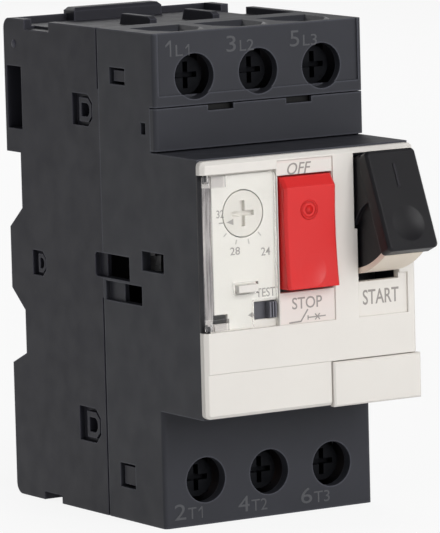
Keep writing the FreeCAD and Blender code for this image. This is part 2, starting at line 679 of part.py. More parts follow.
def front_cover():
    low, high = -COVER_H / 2, COVER_H / 2
    half = COVER_W / 2
    body = plate_y(-half, half, Y_FACE, Y_TIER, low, high, 1.0)
    body = body.makeChamfer(COVER_BEVEL, edges_at_y(body, Y_FACE))
    front = Y_FACE - 1
    through = Y_TIER + 1
    stop_right = STOP_LEFT + STOP_W
    hinge_floor = hinge_y() + HINGE_R + SLIDE_GAP
    label_left = START_LEFT + MOVE_GAP
    slot_right = SKIRT_RIGHT + MOVE_GAP
    slot_step = PIVOT_Z - 1.3 * FLANK_R
    removed = [
        box(-half - 1, FLAP_X, front, Y_FLOOR, FLAP_LOW, FLAP_HIGH),
        box(-half - 1, hinge_x() + HINGE_REACH, front, hinge_floor, FLAP_LOW, FLAP_HIGH),
        box(hinge_x() + 1.0, hinge_x() + 4.0, front, through, FLAP_LOW + 1.4, FLAP_LOW + 3.0),
        box(FLAP_X + 0.2, stop_right + 0.45, front, Y_FACE + 0.3, FLAP_LOW, high - 1.0),
        centred(STOP_X, STOP_W / 2 + MOVE_GAP, front, through, stop_low() - SLIDE_GAP, STOP_TOP + MOVE_GAP),
        box(START_LEFT - MOVE_GAP, slot_right, front, through, slot_step, high - 0.9),
        box(SKIRT_LEFT - MOVE_GAP, slot_right, front, through, SLOT_LOW, slot_step + 1),
        box(label_left, label_left + LABEL_W, front, Y_FACE + 0.4, SLOT_LOW - LABEL_DROP, SLOT_LOW + 1),
        box(TEST_LEFT, FLAP_X, front, through, TEST_LOW, TEST_HIGH),
        rod_y(DIAL_X, DIAL_Z, DIAL_D / 2 + SLIDE_GAP, front, through),
        box(BLANK_LEFT, half + 1, front, Y_FACE + BLANK_SINK, low - 1, low + BLANK_H),
        box(-half - 1, BLANK_LEFT, front, Y_FACE + BLANK_DROP, low - 1, low + BLANK_H),
    ]
    for x in blanking_pegs():
        removed.append(peg_box(x, front, through, PRESS_GAP))
    body = body.cut(removed)
    pegs = [rod_z(hinge_x(), hinge_y(), PEG_R, FLAP_HIGH - PEG_L, FLAP_HIGH + 0.5),
            rod_z(hinge_x(), hinge_y(), PEG_R, FLAP_LOW - 0.5, FLAP_LOW + PEG_L)]
    ears = [pivot_ear(x0, x1) for x0, x1 in ear_spans()]
    return fuse([body, seal_loop()] + pegs + ears + cover_lips())


def blanking_pegs():
    return (BLANK_LEFT + 4.6, COVER_W / 2 - 5.0)


def peg_box(x, y0, y1, grow):
    """Square peg of the blanking plate, or its hole."""
    half = BLANK_PEG / 2 + grow
    z = -COVER_H / 2 + 4.0
    return box(x - half, x + half, y0, y1, z - half, z + half)


def blanking_plate():
    low = -COVER_H / 2
    half = COVER_W / 2
    plate = box(BLANK_LEFT + SLIDE_GAP, half + BLANK_PROUD, Y_FACE - BLANK_PROUD, Y_FACE + BLANK_SINK,
                low - 0.3, low + BLANK_H - SLIDE_GAP)
    plate = plate.makeChamfer(0.3, edges_at_y(plate, Y_FACE - BLANK_PROUD))
    pegs = [peg_box(x, Y_FACE + 0.5, Y_TIER + 1.2, 0) for x in blanking_pegs()]
    return fuse([plate] + pegs)


def setting_flap():
    """Clear flap over the dial, with a round hinge edge and a slot for the seal loop."""
    x, y = hinge_x(), hinge_y()
    low, high = FLAP_LOW + MOVE_GAP, FLAP_HIGH - MOVE_GAP
    back = Y_FLOOR - SLIDE_GAP
    plate = box(x, FLAP_X - SLIDE_GAP, back - FLAP_T, back, low, high)
    plate = round_edges(plate, 1.0, BACK, lambda mid: mid.x > x + 1)
    lug_front = back - FLAP_T - LUG_RISE
    lugs = [box(x, x + LUG_W, lug_front, back, high - LUG_H, high),
            box(x, x + LUG_W, lug_front, back, low, low + LUG_H)]
    bar = rod_z(x, y, HINGE_R, low, high)
    removed = [rod_z(x, y, PEG_R + RUN_FIT, low - 1, FLAP_LOW + PEG_L + MOVE_GAP),
               rod_z(x, y, PEG_R + RUN_FIT, FLAP_HIGH - PEG_L - MOVE_GAP, high + 1),
               centred(DIAL_X, SEAL_W / 2 + TOUCH_GAP, back - 3, back + 1, SEAL_LOW - TOUCH_GAP,
                       SEAL_LOW + SEAL_H + TOUCH_GAP),
               box(TEST_LEFT - 0.5, FLAP_X + 1, back - 3, back + 1, low - 1, TEST_HIGH + 0.5)]
    return fuse([plate, bar] + lugs).cut(removed)


def cross_slot(x, z, long, narrow, y0, y1):
    """Cross slot for a screwdriver, from its half length and half width."""
    return [box(x - long, x + long, y0, y1, z - narrow, z + narrow),
            box(x - narrow, x + narrow, y0, y1, z - long, z + long)]


def current_dial():
    """Setting dial with a cross slot, a bearing shaft and an off-centre tongue."""
    back = Y_FRAME + FRAME_T
    head = rod_y(DIAL_X, DIAL_Z, DIAL_D / 2, Y_FLOOR, Y_TIER + 0.8)
    stem = rod_y(DIAL_X, DIAL_Z, DIAL_SHAFT_D / 2, Y_TIER + 0.6, back + 0.4)
    tongue = box(DIAL_X, DIAL_X + 1.6, back, back + 2.2, DIAL_Z - 0.8, DIAL_Z + 0.8)
    slots = cross_slot(DIAL_X, DIAL_Z, DIAL_SLOT_L / 2, DIAL_SLOT_W / 2,
                       Y_FLOOR - 1, Y_FLOOR + DIAL_SLOT_DEEP)
    return fuse([head, stem, tongue]).cut(slots)


def test_slide():
    """Trip test slide: cover strip behind the window, ribbed grip and a stem to the trip bar."""
    right = FLAP_X - SLIDE_GAP
    front = Y_TIER + SLIDE_GAP
    covered = right + TEST_STROKE + 0.6
    strip = box(TEST_LEFT - 0.6, covered, front, front + 1.0, TEST_LOW - 0.3, TEST_HIGH + 0.2)
    grip = box(right - 1.6, right, Y_FACE + 0.3, front + 0.5, TEST_LOW + 0.2, TEST_HIGH - 0.2)
    lines = [right - 1.15 + 0.55 * i for i in range(3)]
    grooves = [centred(x, 0.15, Y_FACE, Y_FACE + 0.8, TEST_LOW, TEST_HIGH) for x in lines]
    stem = box(right - STEM_W, right, front + 0.5, stem_end(), TEST_LOW + 0.9, TEST_HIGH - 1.0)
    return fuse([strip, grip.cut(grooves), stem])


def stem_end():
    return Y_TERM + 8.3


# Buttons

def turned(shape, degrees):
    """The shape turned about the button pivot; plus presses the lower end in."""
    copy = shape.copy()
    copy.rotate(V(0, Y_PIVOT, PIVOT_Z), RIGHT, degrees)
    return copy


def pivot_bore(x0, x1):
    return rod_x(Y_PIVOT, PIVOT_Z, PIN_D / 2 + RUN_FIT, x0, x1)


def stop_button():
    """STOP button: hollow cap, dished for the finger, on an arm to the pivot."""
    left, right = STOP_LEFT, STOP_LEFT + STOP_W
    front = Y_FACE - STOP_PROUD
    rear = Y_TIER + 2.6
    upper = V(left, front + 0.1, STOP_TOP - 1.8)
    lower = V(left, front - STOP_LEAN, STOP_FOOT)
    curve = Part.Arc(upper, (upper + lower) * 0.5 + V(0, STOP_SCOOP, 0), lower).toShape()
    back = Part.makePolygon([lower, V(left, rear, STOP_FOOT), V(left, rear, STOP_TOP),
                             V(left, Y_FACE - 0.3, STOP_TOP), upper])
    cap = Part.Face(Part.Wire([curve] + back.Edges)).extrude(V(STOP_W, 0, 0))
    sides = [edge for edge in cap.Edges if edge.CenterOfMass.y < Y_FACE - 0.5 and not straight(edge, RIGHT)]
    cap = cap.makeChamfer(0.5, sides)
    inside = box(left + 1.4, right - 1.4, front + 2.0, rear + 1, STOP_FOOT + 1.6, STOP_TOP - 3.0)
    cap = cap.cut(inside)
    boss = box(STOP_X - 2.4, STOP_X + 2.4, front + 1.5, front + 6.0, 1.6, 6.4)
    hub = rod_x(Y_PIVOT, PIVOT_Z, HUB_R, left + 0.4, right - 0.4)
    arm = box(left + 0.4, right - 0.4, Y_TIER + SLIDE_GAP, rear, STOP_TOP - 3.2, PIVOT_Z)
    dish = Part.makeSphere(DISH_R, V(STOP_X, front - STOP_LEAN / 2 - DISH_R + DISH_DEPTH, 3.6))
    return fuse([cap, boss, hub, arm]).cut([dish, pivot_bore(left - 1, right + 1)])


def start_face():
    """START face plate with a bevelled rim and a finger dish."""
    left, right = START_LEFT, START_LEFT + START_W
    front = Y_PIVOT - START_FACE
    top, bottom = PIVOT_Z + START_RISE, START_FOOT + FACE_LIFT
    plate = plate_y(left, right, front, front + START_T, bottom, top, 0.9)
    plate = plate.makeChamfer(0.5, edges_at_y(plate, front))
    dish = Part.makeSphere(DISH_R, V(START_X, front - DISH_R + DISH_DEPTH, bottom + 4.8))
    return plate.cut(dish)


def start_inner():
    """Plane just inside the back of the pressed START face, where its walls begin."""
    return Y_PIVOT - START_FACE + START_T - 0.5


def start_flanks():
    """Side walls of the START button with a round cut-out towards the skirt."""
    front = start_inner()
    mid, low = Y_PIVOT - 4.9, PIVOT_Z - 2 * FLANK_R
    walls = []
    for x0 in (START_LEFT + FLANK_INSET, SKIRT_RIGHT - FLANK_T):
        x1 = x0 + FLANK_T
        wall = prism_x([
            (front, PIVOT_Z + START_RISE), (front, low), (mid, low), (Y_PIVOT + 1.3, low + 6.3),
            (Y_PIVOT + 0.5, PIVOT_Z - START_WEB), (Y_PIVOT - 1.0, PIVOT_Z + START_RISE),
        ], x0, x1)
        walls.append(wall.cut(rod_x(mid, low, FLANK_R, x0, x1)))
    return walls


def start_lining():
    """Thin wall inside the left flank, round like the skirt, that closes the cut-out."""
    x1 = START_LEFT + FLANK_INSET + FLANK_T
    front = start_inner()
    foot = PIVOT_Z - SKIRT_R
    disc = rod_x(Y_PIVOT, PIVOT_Z, SKIRT_R - SKIRT_T, x1 - LINING_T, x1)
    keep = prism_x([(front, PIVOT_Z), (front, foot), (Y_PIVOT + SKIRT_BACK, foot),
                    (Y_PIVOT + 0.5, PIVOT_Z - START_WEB), (Y_PIVOT - 1.0, PIVOT_Z)], x1 - LINING_T, x1)
    return disc.common(keep)


def start_lobe():
    """Rounded pusher that drives the contact carrier, on an arm from the back of the raised face."""
    angle = math.radians(START_ANGLE)
    front = Y_PIVOT - START_FACE * math.cos(angle) - LOBE_DROP * math.sin(angle)
    arm = centred(PUSH_X, LOBE_W / 2, front + 0.25, Y_LOBE, LOBE_Z - LOBE_R, LOBE_Z + LOBE_R)
    return fuse([arm, rod_x(Y_LOBE, LOBE_Z, LOBE_R, PUSH_X - LOBE_W / 2, PUSH_X + LOBE_W / 2)])


def start_button():
    left, right = START_LEFT + FLANK_T, SKIRT_RIGHT - FLANK_T
    inner = start_inner()
    hub = rod_x(Y_PIVOT, PIVOT_Z, HUB_R, left, right)
    web = box(left, right, inner, Y_PIVOT, PIVOT_Z - START_WEB, PIVOT_Z + START_RISE)
    cup = centred(PUSH_X, 2.6, inner, inner + 2.8, SEAT_Z - 2.3, SEAT_Z + 2.3)
    pressed = fuse([start_face(), hub, web, cup, start_lining()] + start_flanks())
    body = fuse([turned(pressed, -START_ANGLE), start_lobe()])
    return body.cut(pivot_bore(START_LEFT - 1, SKIRT_RIGHT + 1))


def start_skirt():
    """Beige curtain below the START button, a shell about the pivot."""
    x0, x1 = SKIRT_LEFT, SKIRT_RIGHT
    inside = rod_x(Y_PIVOT, PIVOT_Z, SKIRT_R - SKIRT_T, x0 - 1, x1 + 1)
    shell = rod_x(Y_PIVOT, PIVOT_Z, SKIRT_R, x0, x1).cut(inside)
    front = Y_PIVOT - START_FACE + START_T
    keep = box(x0, x1, front, Y_PIVOT + SKIRT_BACK, PIVOT_Z - SKIRT_R - 1, PIVOT_Z - SKIRT_R / 2)
    return turned(shell.common(keep), -START_ANGLE)


def button_pin():
    return rod_x(Y_PIVOT, PIVOT_Z, PIN_D / 2, STOP_LEFT - EAR_REACH, IN_TIER + 0.7)


def start_spring():
    seat = turned(Part.Vertex(PUSH_X, Y_PIVOT - START_FACE + START_T + 2.3, SEAT_Z), -START_ANGLE)
    return coil(PUSH_X, seat.Z, 1.4, SPRING_WIRE, SPRING_WIRE, SPRING_TURNS, seat.Y + 1.2, Y_FRAME)


def stop_spring():
    front = Y_FACE - STOP_PROUD + 6.0
    return coil(STOP_X, 4.0, 1.7, SPRING_WIRE, SPRING_WIRE, SPRING_TURNS, front, Y_FRAME)


# Mechanism

def lever_x():
    return START_LEFT + LEVER_SHIFT


def lever_z():
    return PIVOT_Z - LEVER_BELOW


def bar_z():
    return lever_z() - TRIP_BAR_BELOW


def mechanism_frame():
    """Plate behind the controls: dial bearing, slide slot, pusher window and the lever post."""
    low, high = -HALF_TIER + WALL, PIVOT_Z - FRAME_TOP
    plate = box(-IN_TIER, IN_TIER, Y_FRAME, Y_FRAME + FRAME_T, low, high)
    flanges = both_sides([box(IN_TIER - FLANGE_T, IN_TIER, Y_FRAME, Y_FRAME + FLANGE_DEEP, low, high)])
    boss = centred(DIAL_X, DIAL_BOSS_W / 2, Y_FRAME - DIAL_BOSS_T, Y_FRAME + FRAME_T,
                   DIAL_Z - DIAL_BOSS_W / 2, DIAL_Z + DIAL_BOSS_W / 2)
    post_end = Y_TERM + LEVER_DEEP + LEVER_T + TOUCH_GAP
    post = rod_y(lever_x(), lever_z(), LEVER_POST_R, Y_FRAME + 1, post_end)
    removed = [
        rod_y(DIAL_X, DIAL_Z, DIAL_SHAFT_D / 2 + RUN_FIT, Y_FRAME - 3, Y_FRAME + 5),
        centred(PUSH_X, 2.3, Y_FRAME - 1, Y_FRAME + 3, LOBE_Z - LOBE_PAD - 0.6, high + 1),
        box(TEST_LEFT - 0.2, FLAP_X + 0.6, Y_FRAME - 1, Y_FRAME + 3, TEST_LOW + 0.3, TEST_HIGH - 0.3),
    ]
    return fuse([plate, boss, post] + flanges).cut(removed)


def trip_bar():
    """Bar pushed by the bimetal strips or by the test slide, with a fork for the latch lever."""
    z0, z1 = bar_z() - TRIP_BAR_H / 2, bar_z() + TRIP_BAR_H / 2
    y1 = Y_PLATE - TRIP_BAR_GAP
    y0 = y1 - TRIP_BAR_T
    parts = [box(-IN_W + TEST_STROKE + MOVE_GAP, POLE_PITCH + 1.7, y0, y1, z0, z1)]
    for x in POLES:
        parts.append(box(x - FINGER_X, x - FINGER_X + FINGER_T, y1 - 0.5, y1 + FINGER_L, z0, z1))
    stem_left = FLAP_X - SLIDE_GAP - STEM_W
    lug = stem_left - MOVE_GAP
    parts.append(box(lug - 1.0, lug, stem_end() - 1.4, y0 + 0.5, TEST_LOW + 0.2, z1))
    fork = LEVER_ARM_W / 2 + FORK_PLAY
    for x in (lever_x() - fork - FORK_T, lever_x() + fork):
        parts.append(box(x, x + FORK_T, Y_TERM + LEVER_DEEP - TOUCH_GAP, y0 + 0.5, z0, z1))
    return fuse(parts)


def latch_lever():
    x, z = lever_x(), lever_z()
    y0 = Y_TERM + LEVER_DEEP
    y1 = y0 + LEVER_T
    hub = prism_y(ring_points(x, z, LEVER_HUB_R, 8), y0, y1)
    arm = centred(x, LEVER_ARM_W / 2, y0, y1, bar_z() - 1.1, z)
    tip, half = x + LEVER_HOOK_L, LEVER_HOOK_H / 2
    root = tip - LEVER_HOOK_T
    hook = prism_y([(x, z - half), (root, z - half), (root, z - half - LEVER_HOOK_T),
                    (tip, z - half), (tip, z + half), (x, z + half)], y0, y1)
    return fuse([hub, arm, hook]).cut(rod_y(x, z, LEVER_POST_R + RUN_FIT, y0 - 1, y1 + 1))


def contact_carrier():
    """Sliding carrier: cross bar with a cage for each bridge, and the push arm to the START lobe."""
    y0, y1 = Y_CARRIER - CARRIER_T, Y_CARRIER
    outer = IN_W - CARRIER_GAP
    parts = [box(-outer, outer, y0, y1, -CARRIER_H / 2, CARRIER_H / 2)]
    cage_back = Y_BRIDGE + CAGE_T
    for x in POLES:
        for side in (-1, 1):
            post = x + side * (CAGE_W - CAGE_T) / 2
            parts.append(centred(post, CAGE_T / 2, y1 - 0.5, cage_back, -CAGE_H / 2, CAGE_H / 2))
        parts.append(centred(x, CAGE_W / 2, Y_BRIDGE, cage_back, -CAGE_H / 2, CAGE_H / 2))
    riser = Y_FRAME + FRAME_T + 0.8
    parts.append(box(outer - 3.0, outer, riser, y0 + 0.5, -2.6, 1.6))
    parts.append(box(PUSH_X - 2.2, outer, riser, riser + 3.2, -2.6, LOBE_Z + LOBE_PAD))
    parts.append(centred(PUSH_X, 2.0, Y_LOBE + LOBE_R + TOUCH_GAP, riser + 1,
                         LOBE_Z - LOBE_PAD, LOBE_Z + LOBE_PAD))
    return fuse(parts)


def contact_tip(x, y0, y1):
    return centred(x, CONTACT_W / 2, y0, y1, CONTACT_Z - CONTACT_W / 2, CONTACT_Z + CONTACT_W / 2)


def moving_contact(x):
    end = CONTACT_Z + STRIP_PAST
    bridge = centred(x, STRIP_W / 2, Y_BRIDGE - BRIDGE_T, Y_BRIDGE, -end, end)
    bridge = bridge.makeChamfer(1.0, [edge for edge in bridge.Edges if straight(edge, BACK)])
    tips = top_and_bottom([contact_tip(x, Y_BRIDGE - 0.2, Y_MOVING)])
    return fuse([bridge] + tips)


def contact_spring(x):
    """Bowed leaf spring that loads a bridge in its cage."""
    y0, y1 = Y_CARRIER, Y_BRIDGE - BRIDGE_T
    end = LEAF_L / 2
    return prism_x([(y1, -0.6), (y0 + LEAF_T, -end), (y0, -end), (y1 - LEAF_T, -0.6),
                    (y1 - LEAF_T, 0.6), (y0, end), (y0 + LEAF_T, end), (y1, 0.6)],
                   x - LEAF_W / 2, x + LEAF_W / 2)


def contact_springs():
    return group([contact_spring(x) for x in POLES])


# Current path of a pole

def terminal_plate(x):
    """Clamp plate with its threaded boss behind the terminal screw."""
    back = Y_PLATE + PLATE_T
    plate = centred(x, CLAMP_W / 2, Y_PLATE, back, SCREW_Z - PLATE_BELOW, SCREW_Z + PLATE_ABOVE)
    corners = [edge for edge in plate.Edges if straight(edge, BACK) and edge.CenterOfMass.z > SCREW_Z]
    plate = plate.makeChamfer(1.0, corners)
    boss = centred(x, BOSS_W / 2, back - 0.2, back + BOSS_T, SCREW_Z - BOSS_W / 2, SCREW_Z + BOSS_W / 2)
    return fuse([plate, boss]).cut(shank(x, SCREW_D / 2 + 3 * RUN_FIT, Y_PLATE - 1, back + BOSS_T + 1))


def shank(x, radius, y0, y1):
    """Twelve-sided screw shank, or the hole it turns in."""
    return prism_y(ring_points(x, SCREW_Z, radius, 12), y0, y1)


def screw_tip():
    return Y_PLATE + PLATE_T + BOSS_T - SLIDE_GAP


def back_run(x, front):
    """Conductor along the arc chamber roof and down the back wall to its fixed contact."""
    half = STRIP_W / 2
    roof = ROOF_Z + SHELF_T
    end = CONTACT_Z - STRIP_PAST
    path = prism_x([
        (front, roof), (Y_RUN, roof), (Y_RUN, end), (Y_RUN + STRIP_T, end),
        (Y_RUN + STRIP_T, roof + STRIP_T), (front, roof + STRIP_T),
    ], x - half, x + half)
    tip = contact_tip(x, Y_TIP, Y_RUN + 0.2)
    return [path, tip]


def line_conductor(x):
    return fuse([terminal_plate(x)] + back_run(x, Y_PLATE + 0.4))


def coil_axis_z():
    return -SCREW_Z


def return_conductor(x):
    run = [mirror_z(shape) for shape in back_run(x, Y_LEAD)]
    top = -ROOF_Z - SHELF_T - 0.4
    lead = centred(x, STRIP_W / 2, Y_LEAD, Y_LEAD + STRIP_T, coil_axis_z() - 1.5, top)
    return fuse(run + [lead])


def coil_span():
    return screw_tip() + CLAMP_STROKE + 2.2, Y_LEAD


def trip_coil(x):
    """Winding of the magnetic release in flat wire, with its front lead to the load side."""
    y0, y1 = coil_span()
    z = coil_axis_z()
    winding = coil(x, z, COIL_R, COIL_WIRE_W, COIL_WIRE_T, COIL_TURNS, y0, y1)
    lead = box(x + TONGUE_X, x + TONGUE_X + STRIP_T, bimetal_back(), y0 + 1.2, z + 2.9, z + 4.1)
    return fuse([winding, lead])


def trip_cores():
    y0, y1 = coil_span()
    radius = COIL_R - COIL_WIRE_T / 2 - MOVE_GAP
    return group([prism_y(ring_points(x, coil_axis_z(), radius, 6), y0 - 1.2, y1) for x in POLES])


def bimetal_back():
    return Y_PLATE + PLATE_T + BOSS_T + MOVE_GAP


def load_conductor(x):
    """Lower terminal plate with an upright tongue that carries the bimetal strip."""
    plate = mirror_z(terminal_plate(x))
    front, back = Y_PLATE + 0.3, bimetal_back()
    tongue = box(x + TONGUE_X, x + TONGUE_X + STRIP_T, front, back, -SCREW_Z + 2.4, -ROOF_Z + 4.4)
    bore = mirror_z(shank(x, SCREW_D / 2 + MOVE_GAP, Y_PLATE - 1, back + 1))
    return fuse([plate, tongue.cut(bore)])


def bimetal(x):
    strip = centred(x, TONGUE_X, Y_PLATE + 0.3, bimetal_back(), -SCREW_Z + 5.9, bar_z() + 2.0)
    return round_edges(strip, 0.9, RIGHT, lambda mid: mid.z > 0)


def terminal_screw(x):
    """Clamp screw with a cross slot in its head."""
    back = Y_SADDLE - SADDLE_T
    front = back - HEAD_H
    head = prism_y(ring_points(x, SCREW_Z, SCREW_HEAD_D / 2, 16), front, back)
    slots = cross_slot(x, SCREW_Z, SCREW_SLOT_L / 2, SCREW_SLOT_W / 2, front - 1, front + SCREW_SLOT_DEEP)
    return fuse([head, shank(x, SCREW_D / 2, back - 0.2, screw_tip())]).cut(slots)


def clamp_saddle(x):
    """Pressed saddle under the screw head with two down-turned edges."""
    half = CLAMP_W / 2 - 0.3
    y0, y1 = Y_SADDLE - SADDLE_T, Y_SADDLE
    lip = y1 + 0.5
    outline = [(x - half, lip), (x - half, y0), (x + half, y0), (x + half, lip), (x + half - 1.0, lip),
               (x + half - 1.6, y1), (x - half + 1.6, y1), (x - half + 1.0, lip)]
    saddle = prism_z(outline, SCREW_Z - 4.0, SCREW_Z + 3.4)
    hole = SCREW_D / 2 + SLIDE_GAP
    return saddle.cut(centred(x, hole, y0 - 1, y1 + 1, SCREW_Z - hole, SCREW_Z + hole))


def arc_half():
    """Half width of the splitter plates."""
    return POLE_PITCH / 2 - PARTITION / 2 - ARC_CLEAR


def arc_plate(x, y):
    """Splitter plate with a V throat towards the contact."""
    half = arc_half()
    low, high = CONTACT_Z + 4.5, ROOF_Z - 1.6
    return prism_y([(x - half, low), (x - 2.4, low), (x, low + 4.2), (x + 2.4, low), (x + half, low),
                    (x + half, high), (x - half, high)], y - ARC_PLATE_T / 2, y + ARC_PLATE_T / 2)


def arc_chute(x):
    first = Y_RUN - ARC_FIRST
    plates = [arc_plate(x, first - i * ARC_PITCH) for i in range(ARC_PLATES)]
    return group(top_and_bottom(plates))


def arc_holder(x):
    """Fibre cheeks on both sides of the splitter plates."""
    half = arc_half()
    front = Y_RUN - ARC_FIRST - (ARC_PLATES - 1) * ARC_PITCH - 1.5
    cheeks = []
    for side in (-1, 1):
        inner, outer = sorted((x + side * half, x + side * (half + 0.7)))
        cheeks.append(box(inner, outer, front, Y_RUN - 2.4, CONTACT_Z + 4.0, ROOF_Z))
    return group(top_and_bottom(cheeks))


# Rail latch

def din_latch():
    """Sliding rail latch: flanged plate with a sloped hook and a window for its spring."""
    low = -HALF_H + LATCH_TRAVEL
    flange = centred(0, LATCH_W / 2, LATCH_FRONT, LATCH_FRONT + LATCH_T, low, -RAIL_TOP - 3.0)
    back = BLOCK_RISE - SLIDE_GAP
    tip = -RAIL_TOP + HOOK_LAP
    outline = [(Y_HOOK, low), (back, low), (back, tip - 3.2), (Y_HOOK + 1.4, tip), (Y_HOOK, tip)]
    spine = prism_x(outline, -SPINE_W / 2, SPINE_W / 2)
    peg_low = -HALF_H + LATCH_PEG_TOP - LATCH_PEG_H
    window = box(-2.2, 2.2, 0, BLOCK_RISE + 1, peg_low - SLIDE_GAP, -RAIL_TOP - LATCH_WINDOW)
    pry = box(-3.0, 3.0, 2.4, BLOCK_RISE + 1, low - 1, low + 2.2)
    return fuse([flange, spine]).cut([window, pry])


def latch_spring():
    """Flat wire spring between the casing peg and the top of the latch window."""
    low, high = -HALF_H + LATCH_PEG_TOP, -RAIL_TOP - LATCH_WINDOW
    bars = 7
    wire = SPRING_WIRE
    step = (high - low - wire) / (bars - 1)
    parts = []
    for i in range(bars):
        z = low + i * step
        parts.append(box(-1.8, 1.8, 1.5, 2.5, z, z + wire))
        if i < bars - 1:
            side = 1.3 if i % 2 else -1.8
            parts.append(box(side, side + wire, 1.5, 2.5, z, z + step + wire))
    return fuse(parts)


def save(name, shape):
    shape.exportStep("parts/" + name + ".step")


def main():
    os.makedirs("parts", exist_ok=True)
    for make in (rear_casing, front_casing, auxiliary_cover, front_cover, blanking_plate, setting_flap,
                 current_dial, test_slide, stop_button, start_button, start_skirt, button_pin,
                 start_spring, stop_spring, mechanism_frame, trip_bar, latch_lever,
                 contact_carrier, contact_springs, trip_cores, din_latch, latch_spring):
        save(make.__name__, make())
    for number, x in enumerate(POLES, 1):
        for make in (moving_contact, line_conductor, return_conductor, load_conductor, trip_coil, bimetal,
                     arc_chute, arc_holder):
            save(make.__name__ + "_" + str(number), make(x))
        for make in (terminal_screw, clamp_saddle):
            name = make.__name__.split("_")[1]
            save("line_" + name + "_" + str(number), make(x))
            save("load_" + name + "_" + str(number), mirror_z(make(x)))


main()
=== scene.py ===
import json
import math

import bpy
from mathutils import Matrix, Vector

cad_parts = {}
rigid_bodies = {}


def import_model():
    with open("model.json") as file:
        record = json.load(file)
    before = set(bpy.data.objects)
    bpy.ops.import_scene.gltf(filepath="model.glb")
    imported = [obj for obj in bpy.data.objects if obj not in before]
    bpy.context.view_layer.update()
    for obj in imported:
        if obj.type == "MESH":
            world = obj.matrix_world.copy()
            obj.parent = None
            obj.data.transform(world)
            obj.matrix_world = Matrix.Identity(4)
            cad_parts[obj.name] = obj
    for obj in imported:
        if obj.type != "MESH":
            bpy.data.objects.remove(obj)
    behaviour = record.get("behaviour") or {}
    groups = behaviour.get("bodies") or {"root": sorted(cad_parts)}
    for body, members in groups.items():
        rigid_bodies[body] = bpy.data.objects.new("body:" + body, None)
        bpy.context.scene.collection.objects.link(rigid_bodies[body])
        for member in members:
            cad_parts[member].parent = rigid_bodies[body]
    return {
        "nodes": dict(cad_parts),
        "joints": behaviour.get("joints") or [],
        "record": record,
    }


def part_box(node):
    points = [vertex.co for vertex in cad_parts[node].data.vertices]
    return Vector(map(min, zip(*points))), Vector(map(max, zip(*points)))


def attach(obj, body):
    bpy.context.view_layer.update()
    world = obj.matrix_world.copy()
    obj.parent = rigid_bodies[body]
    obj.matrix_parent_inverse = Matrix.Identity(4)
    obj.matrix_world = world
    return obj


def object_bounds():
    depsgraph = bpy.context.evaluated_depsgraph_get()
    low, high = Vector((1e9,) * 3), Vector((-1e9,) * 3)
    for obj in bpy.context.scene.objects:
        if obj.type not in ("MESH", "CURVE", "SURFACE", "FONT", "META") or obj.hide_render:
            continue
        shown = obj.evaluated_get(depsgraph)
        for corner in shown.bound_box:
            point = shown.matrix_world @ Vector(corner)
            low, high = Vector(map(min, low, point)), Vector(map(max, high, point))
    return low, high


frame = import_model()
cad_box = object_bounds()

# Looks of a three-pole motor protection switch. Metres; X right, Y to the back, Z up.

MM = 0.001
FAR = 1.0                 # a limit beyond the object
PRINT = 0.04 * MM         # thickness of printed lettering
RAISED = 0.12 * MM        # height of raised signs
PANEL_SUNK = 0.3 * MM     # STOP panel behind the cover face
LABEL_SUNK = 0.4 * MM     # START panel behind the cover face
FLOOR_SUNK = 1.2 * MM     # floor under the clear flap behind the cover face
TOP_SUNK = 0.35 * MM      # upper terminal face behind the lower one
BLANK_PROUD = 0.4 * MM    # blanking plate before the cover face
START_FACE = 8.1 * MM     # START face before its pivot
START_LEAN = math.radians(23.0)  # lean of the START face at rest

# Places read from the frame
TERMINAL_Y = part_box("auxiliary_cover")[0].y
COVER_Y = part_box("blanking_plate")[0].y + BLANK_PROUD
PANEL_Y = COVER_Y + PANEL_SUNK
LABEL_Y = COVER_Y + LABEL_SUNK
RECESS_Y = COVER_Y + FLOOR_SUNK
SIDE_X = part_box("rear_casing")[0].x
DIAL_LOW, DIAL_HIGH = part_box("current_dial")
DIAL_X = (DIAL_LOW.x + DIAL_HIGH.x) / 2
DIAL_Z = (DIAL_LOW.z + DIAL_HIGH.z) / 2
FLAP_LOW, FLAP_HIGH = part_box("setting_flap")
START_LOW, START_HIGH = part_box("start_button")
START_X = (START_LOW.x + START_HIGH.x) / 2
START_JOINT = next(joint for joint in frame["joints"] if joint["name"] == "start_press")
PIVOT = Vector(START_JOINT["pos_m"])

# Camera of the photograph
FOCAL_PX = 5724.077
IMAGE_W, IMAGE_H = 440, 533
EYE_AZIMUTH = math.radians(-32.0397)
EYE_RISE = math.radians(7.3271)
EYE_ROLL = math.radians(-1.4955)
EYE_DISTANCE = 1046.749 * MM
EYE_TARGET = Vector((1.7847, -30.0, -0.8333)) * MM
SENSOR = 36.0
NEAREST = 0.05            # nearest distance in the picture

# Textures: scales are per metre
NOISE_SPAN = (0.3, 0.7)   # where most values of a noise lie
FULL = (0.0, 1.0)
CLOUD_SCALE = 90.0
SHINE_SCALE = 240.0
SHINE_CHANGE = 0.05
GRAIN_SCALE = 5200.0
GRAIN_DEPTH = 0.03 * MM
EDGE_REACH = 0.35 * MM    # how far from an edge the plastic is lightened, as painted highlight and wear
EDGE_SPAN = (0.95, 0.55)  # occlusion inside the plastic, from plain to painted edge highlight and wear
STREAK_SCALE = 900.0
STREAK_DEPTH = 0.02 * MM
STREAK_STRENGTH = 0.12
SPOT_SCALE = 420.0
SPOT_SPAN = (0.35, 0.7)
BRIGHT, DULL = 1.06, 0.8  # gains of plain metal and of its spots
METAL_SMOOTHER, METAL_ROUGHER = 0.08, 0.1

